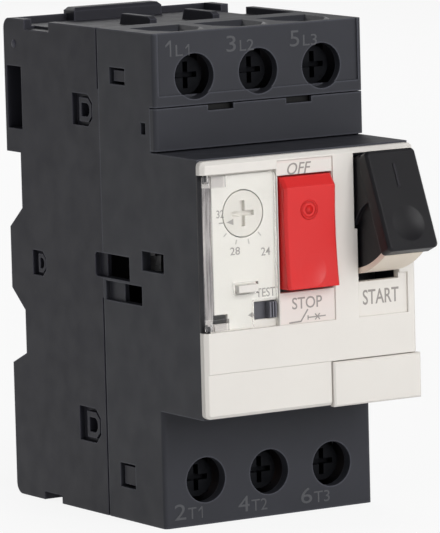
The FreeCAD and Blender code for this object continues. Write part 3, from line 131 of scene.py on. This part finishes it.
# Clear flap
CLEAR = (0.93, 0.935, 0.93)
CLEAR_SHADOW = (0.78, 0.785, 0.78)
CLEAR_IOR = 1.5
CLEAR_SHINE = (0.02, 0.07)
CLEAR_SHINE_SCALE = 600.0
RIPPLE_SCALE = 130.0
RIPPLE_DEPTH = 0.05 * MM
RIPPLE_STRENGTH = 0.05
# painted reflections: dark and light streaks in the hinge bar of the flap
HINGE_SHADE = (0.3, 0.29, 0.31)
HINGE_LIGHT = (0.95, 0.94, 0.96)
HINGE_STRETCH = (1.0, 1.0, 0.05)
HINGE_SCALE = 1400.0
HINGE_SPAN = (0.42, 0.6)
HINGE_END = FLAP_LOW.x + 1.5 * MM
HINGE_FADE = 0.2 * MM

# Sockets of the colour mix node
MIX_FIRST, MIX_SECOND, MIX_RESULT = 6, 7, 2


# Materials

def add(tree, kind, inputs=None, **settings):
    """A shader node with its settings and inputs; an input is a value or another node's output."""
    made = tree.nodes.new(kind)
    for key, value in settings.items():
        setattr(made, key, value)
    for key, value in (inputs or {}).items():
        if isinstance(value, bpy.types.NodeSocket):
            tree.links.new(value, made.inputs[key])
        else:
            made.inputs[key].default_value = value
    return made


def blank_material(name):
    material = bpy.data.materials.new(name)
    material.use_nodes = True
    tree = material.node_tree
    shader = tree.nodes["Principled BSDF"]
    place = add(tree, "ShaderNodeTexCoord").outputs["Object"]
    return material, tree, shader, place


def noise(tree, place, scale, detail=3.0):
    inputs = {"Vector": place, "Scale": scale, "Detail": detail}
    return add(tree, "ShaderNodeTexNoise", inputs).outputs["Fac"]


def stretched(tree, place, scale):
    return add(tree, "ShaderNodeMapping", {"Vector": place, "Scale": scale}).outputs["Vector"]


def ranged(tree, value, source, target):
    """The value mapped from one range to another."""
    inputs = {"Value": value, "From Min": source[0], "From Max": source[1],
              "To Min": target[0], "To Max": target[1]}
    return add(tree, "ShaderNodeMapRange", inputs).outputs["Result"]


def mixed(tree, share, first, second):
    """Colour between the first and the second by the share."""
    inputs = {"Factor": share, MIX_FIRST: first, MIX_SECOND: second}
    return add(tree, "ShaderNodeMix", inputs, data_type="RGBA").outputs[MIX_RESULT]


def set_roughness(tree, shader, texture, low, high):
    tree.links.new(ranged(tree, texture, NOISE_SPAN, (low, high)), shader.inputs["Roughness"])


def set_bump(tree, shader, height, strength, depth, normal=None):
    """Bump of the surface by a height texture, over a given normal if there is one."""
    inputs = {"Strength": strength, "Distance": depth, "Height": height}
    if normal is not None:
        inputs["Normal"] = normal
    bump = add(tree, "ShaderNodeBump", inputs)
    tree.links.new(bump.outputs["Normal"], shader.inputs["Normal"])


def set_surface(tree, share, first, second):
    """Output of a material, mixed from two shaders by the share."""
    blend = add(tree, "ShaderNodeMixShader", {0: share, 1: first, 2: second})
    tree.links.new(blend.outputs["Shader"], tree.nodes["Material Output"].inputs["Surface"])


def rgb(colour, gain=1.0):
    """Colour of a node socket, brightened by the gain."""
    return tuple(min(channel * gain, 1.0) for channel in colour) + (1.0,)


def linear(*srgb):
    """Linear colour of an 8-bit screen colour."""
    channels = [value / 255 for value in srgb]
    return tuple(c / 12.92 if c <= 0.04045 else ((c + 0.055) / 1.055) ** 2.4 for c in channels)


def moulded(name, colour, roughness, grain=0.15, patch=0.06, edge=1.3, soft=0.22 * MM, specular=0.5):
    """Moulded plastic: faint clouds of colour, a fine grain, softened edges lightened by a painted
    highlight and wear.
    """
    material, tree, shader, place = blank_material(name)
    clouds = ranged(tree, noise(tree, place, CLOUD_SCALE, detail=4.0), NOISE_SPAN, FULL)
    body = mixed(tree, clouds, rgb(colour, 1 - patch), rgb(colour, 1 + patch))
    # paler colour along convex edges: painted highlight, partly wear
    inner = add(tree, "ShaderNodeAmbientOcclusion", {"Distance": EDGE_REACH}, samples=6, inside=True)
    wear_and_highlight = ranged(tree, inner.outputs["AO"], EDGE_SPAN, FULL)
    tree.links.new(mixed(tree, wear_and_highlight, body, rgb(colour, edge)), shader.inputs["Base Color"])
    shine = noise(tree, place, SHINE_SCALE)
    set_roughness(tree, shader, shine, roughness - SHINE_CHANGE, roughness + SHINE_CHANGE)
    rounded = add(tree, "ShaderNodeBevel", {"Radius": soft}, samples=4).outputs["Normal"]
    set_bump(tree, shader, noise(tree, place, GRAIN_SCALE, detail=2.0), grain, GRAIN_DEPTH, rounded)
    shader.inputs["Specular IOR Level"].default_value = specular
    return material


def casing_plastic(name, colour):
    """Dark plastic with a clear grain and edges made pale by painted highlight and wear."""
    return moulded(name, colour, roughness=0.46, grain=0.3, patch=0.07, edge=2.4, specular=0.25)


def cover_plastic(name):
    return moulded(name, WHITE, roughness=0.42, patch=0.012, edge=1.04)


def ink(name, colour, roughness=0.6, patch=0.05):
    """Colour of a print, with sharp edges."""
    return moulded(name, colour, roughness, patch=patch, edge=1.0, soft=0.02 * MM)


def metal(name, colour, roughness, streak=(1.0, 1.0, 12.0)):
    """Rolled or plated metal with fine streaks and dull spots."""
    material, tree, shader, place = blank_material(name)
    streaks = noise(tree, stretched(tree, place, streak), STREAK_SCALE, detail=4.0)
    spots = ranged(tree, noise(tree, place, SPOT_SCALE), SPOT_SPAN, FULL)
    tree.links.new(mixed(tree, spots, rgb(colour, BRIGHT), rgb(colour, DULL)), shader.inputs["Base Color"])
    set_roughness(tree, shader, streaks, roughness - METAL_SMOOTHER, roughness + METAL_ROUGHER)
    set_bump(tree, shader, streaks, STREAK_STRENGTH, STREAK_DEPTH)
    shader.inputs["Metallic"].default_value = 1.0
    return material


def clear_plastic(name):
    """Polished clear plastic that lets the light of the lamps through, with painted dark and light
    reflection streaks in the hinge bar.
    """
    material, tree, shader, place = blank_material(name)
    set_bump(tree, shader, noise(tree, place, RIPPLE_SCALE, detail=2.0), RIPPLE_STRENGTH, RIPPLE_DEPTH)
    set_roughness(tree, shader, noise(tree, place, CLEAR_SHINE_SCALE), *CLEAR_SHINE)
    # painted reflection streaks, dark and light, along the hinge bar
    lines = noise(tree, stretched(tree, place, HINGE_STRETCH), HINGE_SCALE, detail=2.0)
    bar = mixed(tree, ranged(tree, lines, HINGE_SPAN, FULL), rgb(HINGE_SHADE), rgb(HINGE_LIGHT))
    across = add(tree, "ShaderNodeSeparateXYZ", {"Vector": place}).outputs["X"]
    beyond = ranged(tree, across, (HINGE_END, HINGE_END + HINGE_FADE), FULL)
    tree.links.new(mixed(tree, beyond, bar, rgb(CLEAR)), shader.inputs["Base Color"])
    shader.inputs["Transmission Weight"].default_value = 1.0
    shader.inputs["IOR"].default_value = CLEAR_IOR
    through = add(tree, "ShaderNodeBsdfTransparent", {"Color": rgb(CLEAR_SHADOW)})
    in_shadow = add(tree, "ShaderNodeLightPath").outputs["Is Shadow Ray"]
    set_surface(tree, in_shadow, shader.outputs["BSDF"], through.outputs["BSDF"])
    return material


def toned_zone(material, colour, limits):
    """Another colour within limits along some axes of the frame, in metres."""
    tree = material.node_tree
    base = tree.nodes["Principled BSDF"].inputs["Base Color"]
    place = add(tree, "ShaderNodeTexCoord").outputs["Object"]
    axes = add(tree, "ShaderNodeSeparateXYZ", {"Vector": place}).outputs
    share = 1.0
    for axis, (start, end) in limits.items():
        span = {0: axes[axis], 1: (start + end) / 2, 2: (end - start) / 2}
        within = add(tree, "ShaderNodeMath", span, operation="COMPARE").outputs[0]
        share = add(tree, "ShaderNodeMath", {0: share, 1: within}, operation="MULTIPLY").outputs[0]
    tree.links.new(mixed(tree, share, base.links[0].from_socket, rgb(colour)), base)
    return material


CASING = linear(50, 51, 57)
WHITE = linear(231, 227, 221)
LOOKS = {
    "casing_grey": casing_plastic("casing_plastic", CASING),
    "cover_white": cover_plastic("cover_plastic"),
    "flap_clear": clear_plastic("clear_plastic"),
    "dial_white": moulded("dial_plastic", linear(222, 217, 210), roughness=0.45,
                          patch=0.015, edge=1.03, soft=0.12 * MM),
    "slide_grey": moulded("slide_plastic", linear(92, 92, 99), roughness=0.4, edge=1.6, soft=0.1 * MM),
    "stop_red": moulded("stop_plastic", linear(219, 34, 34), roughness=0.36,
                        patch=0.03, edge=1.12, soft=0.45 * MM),
    "start_black": moulded("start_plastic", linear(19, 18, 22), roughness=0.38,
                           edge=2.6, soft=0.4 * MM, specular=0.25),
    "skirt_beige": moulded("skirt_plastic", linear(238, 226, 210), roughness=0.5, patch=0.05, edge=1.05),
    "steel": metal("plain_steel", (0.50, 0.50, 0.51), roughness=0.34),
    "mechanism_plastic": moulded("mechanism_plastic", linear(62, 62, 66), roughness=0.5, edge=1.8),
    "copper": metal("copper_strip", (0.72, 0.43, 0.28), roughness=0.32),
    # screws nearly black, far darker than plain plated steel
    "zinc_steel": metal("nearly_black_screw_metal", (0.012, 0.0125, 0.0145), roughness=0.5, streak=(1.0, 6.0, 1.0)),
    "fibre": moulded("pressed_fibre", (0.50, 0.43, 0.32), roughness=0.75, grain=0.5, patch=0.14, edge=1.1),
}

# Zones of another colour; the zone in the notches of the band is painted shade
HINGE_GAP = linear(30, 30, 34)     # cover beside the hinge bar, where the casing shows
HINGE_GAP_END = FLAP_LOW.x + 0.75 * MM
HINGE_GAP_PAST = 0.3 * MM
NOTCH_PAINTED_SHADE = linear(6, 6, 7)       # painted shade deep in the notches of the band, from a depth on
NOTCH_SHADE_DEPTH = 0.6 * MM
BAND_EDGE = 1.0 * MM               # side walls of the band, which stay grey
LUG_TONE = (0.72, 0.71, 0.72)      # thick ends of the flap at the hinge
LUG_X = (-FAR, FLAP_LOW.x + 4.35 * MM)
LUG_TALL = 2.0 * MM
NODE_LOOKS = {
    "rear_casing": casing_plastic("rear_plastic", linear(42, 42, 49)),
    "front_cover": toned_zone(cover_plastic("hinged_cover_plastic"), HINGE_GAP, {
        "X": (-FAR, HINGE_GAP_END),
        "Z": (FLAP_LOW.z - HINGE_GAP_PAST, FLAP_HIGH.z + HINGE_GAP_PAST),
    }),
    # painted shade deep in the notches of the band
    "auxiliary_cover": toned_zone(casing_plastic("band_plastic_painted_shade", CASING), NOTCH_PAINTED_SHADE, {
        "X": (SIDE_X + BAND_EDGE, -SIDE_X - BAND_EDGE),
        "Y": (TERMINAL_Y + NOTCH_SHADE_DEPTH, FAR),
    }),
}
toned_zone(LOOKS["flap_clear"], LUG_TONE, {"X": LUG_X, "Z": (FLAP_HIGH.z - LUG_TALL, FAR)})
toned_zone(LOOKS["flap_clear"], LUG_TONE, {"X": LUG_X, "Z": (-FAR, FLAP_LOW.z + LUG_TALL)})
PRINT_GREY = ink("print_grey", linear(156, 151, 147))
# pinkish tint beside STOP: painted reflection of the red button on the white panel
PANEL_RED_REFLECTION = ink("painted_red_reflection", linear(231, 222, 217), roughness=0.45, patch=0.02)
PRINT_FAINT = ink("print_faint_grey", linear(188, 184, 179), patch=0.04)
PRINT_DARK = ink("print_dark_grey", linear(74, 75, 79), roughness=0.5, patch=0.08)


def dress_nodes():
    """Give every node its own look or the look of its material slot."""
    for row in frame["record"]["subparts"]:
        node = frame["nodes"][row["node"]]
        node.data.materials.clear()
        node.data.materials.append(NODE_LOOKS.get(row["node"], LOOKS[row["material_slot"]]))


# Meshes of the lettering and the signs
TEXT_DEPTH = 0.5          # any depth, because the lettering is scaled to its thickness
TEXT_STEPS = 4            # steps of the curves of a letter
SHOULDER, SHOULDER_RISE = 0.15, 0.8  # shares of the width and of the height of a ring


def place_piece(name, mesh, material, body):
    """Link a mesh as a piece that moves with a body."""
    mesh.materials.clear()
    mesh.materials.append(material)
    piece = bpy.data.objects.new(name, mesh)
    bpy.context.scene.collection.objects.link(piece)
    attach(piece, body)


def place_smooth(name, mesh, material, body):
    for face in mesh.polygons:
        face.use_smooth = True
    place_piece(name, mesh, material, body)


def new_mesh(name, points, faces):
    mesh = bpy.data.meshes.new(name)
    mesh.from_pydata(points, [], faces)
    mesh.update()
    return mesh


def text_mesh(name, words, weight, shear):
    """A text as a mesh in the XZ plane, facing the front, not yet in its size."""
    curve = bpy.data.curves.new(name, "FONT")
    curve.body = words
    curve.offset = weight
    curve.shear = shear
    curve.extrude = TEXT_DEPTH
    curve.resolution_u = TEXT_STEPS
    holder = bpy.data.objects.new(name, curve)
    bpy.context.scene.collection.objects.link(holder)
    bpy.context.view_layer.update()
    mesh = bpy.data.meshes.new_from_object(holder.evaluated_get(bpy.context.evaluated_depsgraph_get()))
    bpy.data.objects.remove(holder)
    mesh.transform(Matrix.Rotation(math.radians(90), 4, "X"))
    return mesh


def lettering(words, box, y, material, weight=0.0, shear=0.0):
    """Print the words into a box of the front view, x0, x1, z0, z1 in millimetres; y in metres."""
    name = "print_" + words.lower() + "_" + str(len(bpy.data.objects))
    mesh = text_mesh(name, words, weight, shear)
    x0, x1, z0, z1 = box
    points = [vertex.co for vertex in mesh.vertices]
    low = Vector(min(point[i] for point in points) for i in range(3))
    high = Vector(max(point[i] for point in points) for i in range(3))
    wide, deep, tall = (high[i] - low[i] for i in range(3))
    scale = Vector(((x1 - x0) * MM / wide, PRINT / deep, (z1 - z0) * MM / tall))
    for point in points:
        point.x = x0 * MM + (point.x - low.x) * scale.x
        point.y = y - PRINT + (point.y - low.y) * scale.y
        point.z = z0 * MM + (point.z - low.z) * scale.z
    mesh.update()
    place_piece(name, mesh, material, "casing")


def plate_mesh(name, outline, y, thickness):
    """A thin plate from an (x, z) outline in millimetres, its back on the plane y."""
    count = len(outline)
    points = [Vector((x * MM, y - thickness, z * MM)) for x, z in outline]
    points += [Vector((x * MM, y, z * MM)) for x, z in outline]
    faces = [tuple(range(count)), tuple(range(2 * count - 1, count - 1, -1))]
    faces += [(i, i + count, (i + 1) % count + count, (i + 1) % count) for i in range(count)]
    return new_mesh(name, points, faces)


def print_sign(name, outline, y, material, thickness=PRINT):
    place_piece(name, plate_mesh(name, outline, y, thickness), material, "casing")


def stroke(x0, z0, x1, z1, width):
    """Outline of a straight stroke between two points."""
    along = Vector((x1 - x0, z1 - z0)).normalized() * width / 2
    across = Vector((-along.y, along.x))
    start, end = Vector((x0, z0)), Vector((x1, z1))
    corners = [start - across, end - across, end + across, start + across]
    return [(corner.x, corner.y) for corner in corners]


def rectangle(x0, x1, z0, z1):
    return [(x0, z0), (x1, z0), (x1, z1), (x0, z1)]


def ring_mesh(name, x, z, y, outer, inner, height, sides=40):
    """A raised ring with a crowned top, facing the front; sizes in metres."""
    shoulder = SHOULDER * (outer - inner)
    profile = [(outer, 0.0), (outer - shoulder, SHOULDER_RISE), ((outer + inner) / 2, 1.0),
               (inner + shoulder, SHOULDER_RISE), (inner, 0.0)]
    rows = len(profile)
    points, faces = [], []
    for i in range(sides):
        angle = 2 * math.pi * i / sides
        after = (i + 1) % sides
        for j, (radius, share) in enumerate(profile):
            points.append((x + radius * math.cos(angle), y - share * height, z + radius * math.sin(angle)))
            below = (j + 1) % rows
            faces.append((i * rows + j, i * rows + below, after * rows + below, after * rows + j))
    return new_mesh(name, points, faces)


def dome_mesh(name, x, z, y, radius, height, sides=32, rows=5):
    """A low dome facing the front; sizes in metres."""
    points, faces = [], []
    for row in range(rows):
        lift = math.pi / 2 * row / rows
        reach, front = radius * math.cos(lift), y - height * math.sin(lift)
        for i in range(sides):
            angle = 2 * math.pi * i / sides
            points.append((x + reach * math.cos(angle), front, z + reach * math.sin(angle)))
    points.append((x, y - height, z))
    for first in range(0, (rows - 1) * sides, sides):
        for i in range(sides):
            here, after = first + i, first + (i + 1) % sides
            faces.append((here, after, after + sides, here + sides))
    last = (rows - 1) * sides
    faces += [(last + i, last + (i + 1) % sides, len(points) - 1) for i in range(sides)]
    faces.append(tuple(range(sides - 1, -1, -1)))
    return new_mesh(name, points, faces)


def front_of(node, x, z):
    """Where a line from the front first meets a node."""
    piece = frame["nodes"][node]
    into = piece.matrix_world.inverted()
    start = into @ Vector((x, -FAR, z))
    point = piece.ray_cast(start, into.to_3x3() @ Vector((0.0, 1.0, 0.0)))[1]
    return (piece.matrix_world @ point).y


# Terminal lettering: boxes in millimetres, x from the screw, z from the middle of the object
UPPER_NUMBER = (-6.6, -4.6, 40.2, 43.1)
UPPER_NUMBER_ONE = (-5.9, -4.7, 40.2, 43.1)
UPPER_NAME = (-3.8, -0.8, 40.2, 42.2)
UPPER_LETTER = (-3.8, -2.3, 40.2, 42.2)
UPPER_ONE = (-1.7, -0.9, 40.2, 42.2)
LOWER_NUMBER = (-6.8, -4.4, -43.1, -40.25)
LOWER_NAME = (-4.0, -0.6, -43.2, -41.1)
LOWER_LETTER = (-4.0, -2.2, -43.2, -41.1)
LOWER_ONE = (-1.8, -0.9, -43.2, -41.1)
ONE_STEM = 0.11           # shares of the height of a one
ONE_FLAG_TOP, ONE_FLAG_LOW, ONE_FLAG_ROOT = 0.28, 0.42, 0.2


def beside(x, box):
    """The box moved to the right by x."""
    return (x + box[0], x + box[1], box[2], box[3])


def terminal_word(words, box, y):
    lettering(words, box, y, PRINT_DARK)


def numeral_one(name, box, y):
    """A one with a flag, which the built-in font draws as a plain bar."""
    x0, x1, z0, z1 = box
    tall = z1 - z0
    stem = x1 - ONE_STEM * tall
    flag = [(x0, z1 - ONE_FLAG_TOP * tall), (x0, z1 - ONE_FLAG_LOW * tall),
            (stem, z1 - ONE_FLAG_ROOT * tall)]
    outline = [(stem, z0), (x1, z0), (x1, z1), (stem, z1)] + flag
    print_sign("print_one_" + name, outline, y, PRINT_DARK)


def terminal_labels():
    """Pole numbers and terminal names above and below the screws."""
    upper, lower = TERMINAL_Y + TOP_SUNK, TERMINAL_Y
    for pole in (1, 2, 3):
        low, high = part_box("line_screw_" + str(pole))
        x = (low.x + high.x) / 2 / MM
        terminal_word(str(2 * pole), beside(x, LOWER_NUMBER), lower)
        if pole == 1:
            numeral_one("line", beside(x, UPPER_NUMBER_ONE), upper)
            terminal_word("L", beside(x, UPPER_LETTER), upper)
            numeral_one("l", beside(x, UPPER_ONE), upper)
            terminal_word("T", beside(x, LOWER_LETTER), lower)
            numeral_one("t", beside(x, LOWER_ONE), lower)
        else:
            terminal_word(str(2 * pole - 1), beside(x, UPPER_NUMBER), upper)
            terminal_word("L" + str(pole), beside(x, UPPER_NAME), upper)
            terminal_word("T" + str(pole), beside(x, LOWER_NAME), lower)


# Signs on the cover: places in millimetres of the front view
FIELD_TOP, FIELD_FOOT = 21.8, -7.4
FIELD_LEFT, FIELD_RIGHT = 0.2, 0.3   # fields past the sides of STOP
FIELD_ABOVE, FIELD_BELOW = 0.6, 1.0  # fields clear of its top and foot
SIGN_LINE, SIGN_THIN = 0.28, 0.22
SIGN_LAYER = 0.06         # each stroke thicker by this share, so that no two faces coincide
BREAKER_SIGN = {
    "lead": stroke(-4.75, -7.25, -2.3, -7.15, SIGN_LINE),
    "arm": stroke(-2.3, -7.2, -0.75, -5.1, SIGN_LINE),
    "tee": stroke(-0.75, -7.0, -0.75, -6.2, SIGN_THIN),
    "tail": stroke(-0.75, -6.6, 3.0, -6.55, SIGN_THIN),
    "cross_a": stroke(0.75, -7.1, 1.75, -6.05, SIGN_THIN),
    "cross_b": stroke(0.75, -6.05, 1.75, -7.1, SIGN_THIN),
}
DIAL_NUMBERS = {
    "32": (-19.05, -17.55, 12.65, 14.05),
    "28": (-16.4, -14.35, 5.85, 7.25),
    "24": (-9.95, -8.05, 5.25, 6.7),
}
TICK_ANGLES = (223, 253, 282, 311)
TICK_START, TICK_END, TICK_W = 4.75, 5.6, 0.22
SCALE_LINE = stroke(-18.6, 11.75, -17.7, 11.75, 0.18)
TEST_ARROW = [(-13.05, -5.1), (-11.8, -5.75), (-11.8, -4.45)]
DIAL_POINTER = [(-17.0, 11.75), (-15.6, 11.2), (-15.6, 12.3)]


def panel_fields():
    """Pinkish fields above and below the STOP button: painted reflection of the red button."""
    low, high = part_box("stop_button")
    left, right = low.x / MM - FIELD_LEFT, high.x / MM + FIELD_RIGHT
    upper = rectangle(left, right, high.z / MM + FIELD_ABOVE, FIELD_TOP)
    lower = rectangle(left, right, FIELD_FOOT, low.z / MM - FIELD_BELOW)
    for name, outline in (("upper", upper), ("lower", lower)):
        print_sign("stop_painted_reflection_" + name, outline, PANEL_Y, PANEL_RED_REFLECTION, PRINT / 2)


def cover_labels():
    """Words beside the controls."""
    lettering("OFF", (-4.4, 0.65, 19.2, 21.3), PANEL_Y, PRINT_GREY, weight=0.005, shear=0.25)
    lettering("STOP", (-4.05, 2.3, -4.9, -2.8), PANEL_Y, PRINT_GREY, weight=0.008)
    lettering("START", (11.1, 18.8, -5.5, -2.8), LABEL_Y, PRINT_GREY, weight=0.008)
    lettering("TEST", (-11.2, -7.2, -2.1, -0.5), RECESS_Y, PRINT_GREY, weight=0.006)


def breaker_sign():
    """Circuit sign under STOP: a line with an open arm, a tee and a cross."""
    for step, (name, outline) in enumerate(BREAKER_SIGN.items()):
        print_sign("sign_" + name, outline, PANEL_Y, PRINT_GREY, PRINT * (1 + SIGN_LAYER * step))


def dial_scale():
    """Numbers, ticks and pointer of the setting dial and the arrow of the test slide."""
    for words, box in DIAL_NUMBERS.items():
        lettering(words, box, RECESS_Y, PRINT_GREY, weight=0.005)
    centre = Vector((DIAL_X / MM, DIAL_Z / MM))
    for index, degrees in enumerate(TICK_ANGLES):
        ray = Vector((math.cos(math.radians(degrees)), math.sin(math.radians(degrees))))
        tick = stroke(*(centre + TICK_START * ray), *(centre + TICK_END * ray), TICK_W)
        print_sign("tick_" + str(index), tick, RECESS_Y, PRINT_FAINT)
    print_sign("scale_line", SCALE_LINE, RECESS_Y, PRINT_GREY)
    print_sign("test_arrow", TEST_ARROW, RECESS_Y, PRINT_GREY)
    pointer = plate_mesh("dial_pointer", DIAL_POINTER, DIAL_LOW.y, PRINT)
    place_piece("dial_pointer", pointer, PRINT_GREY, "dial")


# Raised marks
STOP_SIGN_X, STOP_SIGN_Z = -1.25 * MM, 12.95 * MM
STOP_RING_OUTER, STOP_RING_INNER = 1.85 * MM, 1.25 * MM
STOP_DOT_R = 0.85 * MM
START_BAR_HALF = 0.28
START_BAR_LOW, START_BAR_HIGH = 12.3, 16.8
GATE_Y, GATE_Z = 1.4 * MM, 39.8 * MM
GATE_R, GATE_RISE = 0.8 * MM, 0.2 * MM


def stop_marks():
    """Raised circle sign on the STOP button."""
    x, z = STOP_SIGN_X, STOP_SIGN_Z
    y = front_of("stop_button", x, z)
    ring = ring_mesh("stop_ring", x, z, y, STOP_RING_OUTER, STOP_RING_INNER, RAISED)
    place_smooth("stop_ring", ring, LOOKS["stop_red"], "stop")
    centre = dome_mesh("stop_centre", x, z, y, STOP_DOT_R, RAISED)
    place_smooth("stop_centre", centre, LOOKS["stop_red"], "stop")


def start_mark():
    """Raised upright bar on the START button, turned with its face."""
    x = START_X / MM
    outline = rectangle(x - START_BAR_HALF, x + START_BAR_HALF, START_BAR_LOW, START_BAR_HIGH)
    mesh = plate_mesh("start_bar", outline, PIVOT.y - START_FACE, RAISED)
    about = Matrix.Translation(PIVOT)
    mesh.transform(about @ Matrix.Rotation(-START_LEAN, 4, "X") @ about.inverted())
    place_piece("start_bar", mesh, LOOKS["start_black"], "start")


def gate_marks():
    """Low round gate marks of the moulding at the upper rear corners of the casing."""
    for side, x, turn in (("left", SIDE_X, -90), ("right", -SIDE_X, 90)):
        name = "gate_mark_" + side
        mesh = dome_mesh(name, 0.0, 0.0, 0.0, GATE_R, GATE_RISE)
        place = Matrix.Translation((x, GATE_Y, GATE_Z))
        mesh.transform(place @ Matrix.Rotation(math.radians(turn), 4, "Z"))
        place_smooth(name, mesh, NODE_LOOKS["rear_casing"], "casing")


# Stage
FLOOR_HALF = 3.0
FLOOR_GREY = (0.94, 0.94, 0.94)
FLOOR_SCALE = 40.0
FLOOR_SHINE = (0.75, 0.9)
FLOOR_GLOW = 0.88         # share of plain white that the camera sees, the rest keeps the shadow
LAMP_SIZE = 0.6
LAMPS = {
    "key": ((0.1, -1.0, 0.42), 6.1),
    "fill": ((0.8, -0.55, 0.35), 1.1),
    "side": ((-0.9, -0.4, 0.3), 0.5),
    "back": ((0.2, 0.9, 0.5), 2.5),
}
SKY = (1.0, 1.0, 1.0)
SKY_STRENGTH = 0.28


def seen_rays(tree):
    """One for what is seen by the camera, in a reflection or through the clear flap, else zero."""
    path = add(tree, "ShaderNodeLightPath").outputs
    seen = path["Is Camera Ray"]
    for kind in ("Is Glossy Ray", "Is Transmission Ray"):
        seen = add(tree, "ShaderNodeMath", {0: seen, 1: path[kind]}, operation="MAXIMUM").outputs[0]
    return seen


def floor():
    """White floor that still takes the shadow of the object."""
    level = cad_box[0][2]
    corners = [(x, y, level) for x, y in rectangle(-FLOOR_HALF, FLOOR_HALF, -FLOOR_HALF, FLOOR_HALF)]
    mesh = new_mesh("floor", corners, [(0, 1, 2, 3)])
    material, tree, shader, place = blank_material("floor_paper")
    shader.inputs["Base Color"].default_value = rgb(FLOOR_GREY)
    set_roughness(tree, shader, noise(tree, place, FLOOR_SCALE), *FLOOR_SHINE)
    glow = add(tree, "ShaderNodeEmission", {"Strength": 1.0})
    share = ranged(tree, seen_rays(tree), FULL, (0.0, FLOOR_GLOW))
    set_surface(tree, share, shader.outputs["BSDF"], glow.outputs["Emission"])
    mesh.materials.append(material)
    ground = bpy.data.objects.new("floor", mesh)
    bpy.context.scene.collection.objects.link(ground)


def softbox(name, place, power):
    """A square lamp that faces the middle of the object."""
    lamp = bpy.data.lights.new(name, "AREA")
    lamp.shape = "SQUARE"
    lamp.size = LAMP_SIZE
    lamp.energy = power
    holder = bpy.data.objects.new(name, lamp)
    holder.location = place
    holder.rotation_euler = (EYE_TARGET - Vector(place)).to_track_quat("-Z", "Y").to_euler()
    bpy.context.scene.collection.objects.link(holder)


def lights():
    """Four lamps and an even white sky."""
    for name, (place, power) in LAMPS.items():
        softbox(name, place, power)
    world = bpy.data.worlds.new("studio")
    world.use_nodes = True
    backdrop = world.node_tree.nodes["Background"]
    backdrop.inputs["Color"].default_value = rgb(SKY)
    backdrop.inputs["Strength"].default_value = SKY_STRENGTH
    bpy.context.scene.world = world


def camera():
    """Camera of the photograph: it looks along minus back, rolled about that line."""
    away = math.cos(EYE_RISE)
    back = Vector((math.sin(EYE_AZIMUTH) * away, -math.cos(EYE_AZIMUTH) * away, math.sin(EYE_RISE)))
    right = Vector((math.cos(EYE_AZIMUTH), math.sin(EYE_AZIMUTH), 0.0))
    up = back.cross(right)
    rolled_right = right * math.cos(EYE_ROLL) + up * math.sin(EYE_ROLL)
    rolled_up = up * math.cos(EYE_ROLL) - right * math.sin(EYE_ROLL)
    lens = bpy.data.cameras.new("camera")
    lens.sensor_width = SENSOR
    lens.lens = FOCAL_PX * SENSOR / max(IMAGE_W, IMAGE_H)
    lens.clip_start = NEAREST
    holder = bpy.data.objects.new("camera", lens)
    turn = Matrix((rolled_right, rolled_up, back)).transposed().to_4x4()
    holder.matrix_world = Matrix.Translation(EYE_TARGET + back * EYE_DISTANCE) @ turn
    bpy.context.scene.collection.objects.link(holder)
    bpy.context.scene.camera = holder


dress_nodes()
terminal_labels()
panel_fields()
cover_labels()
breaker_sign()
dial_scale()
stop_marks()
start_mark()
gate_marks()
floor()
lights()
camera()
bpy.context.scene.view_settings.view_transform = "Standard"
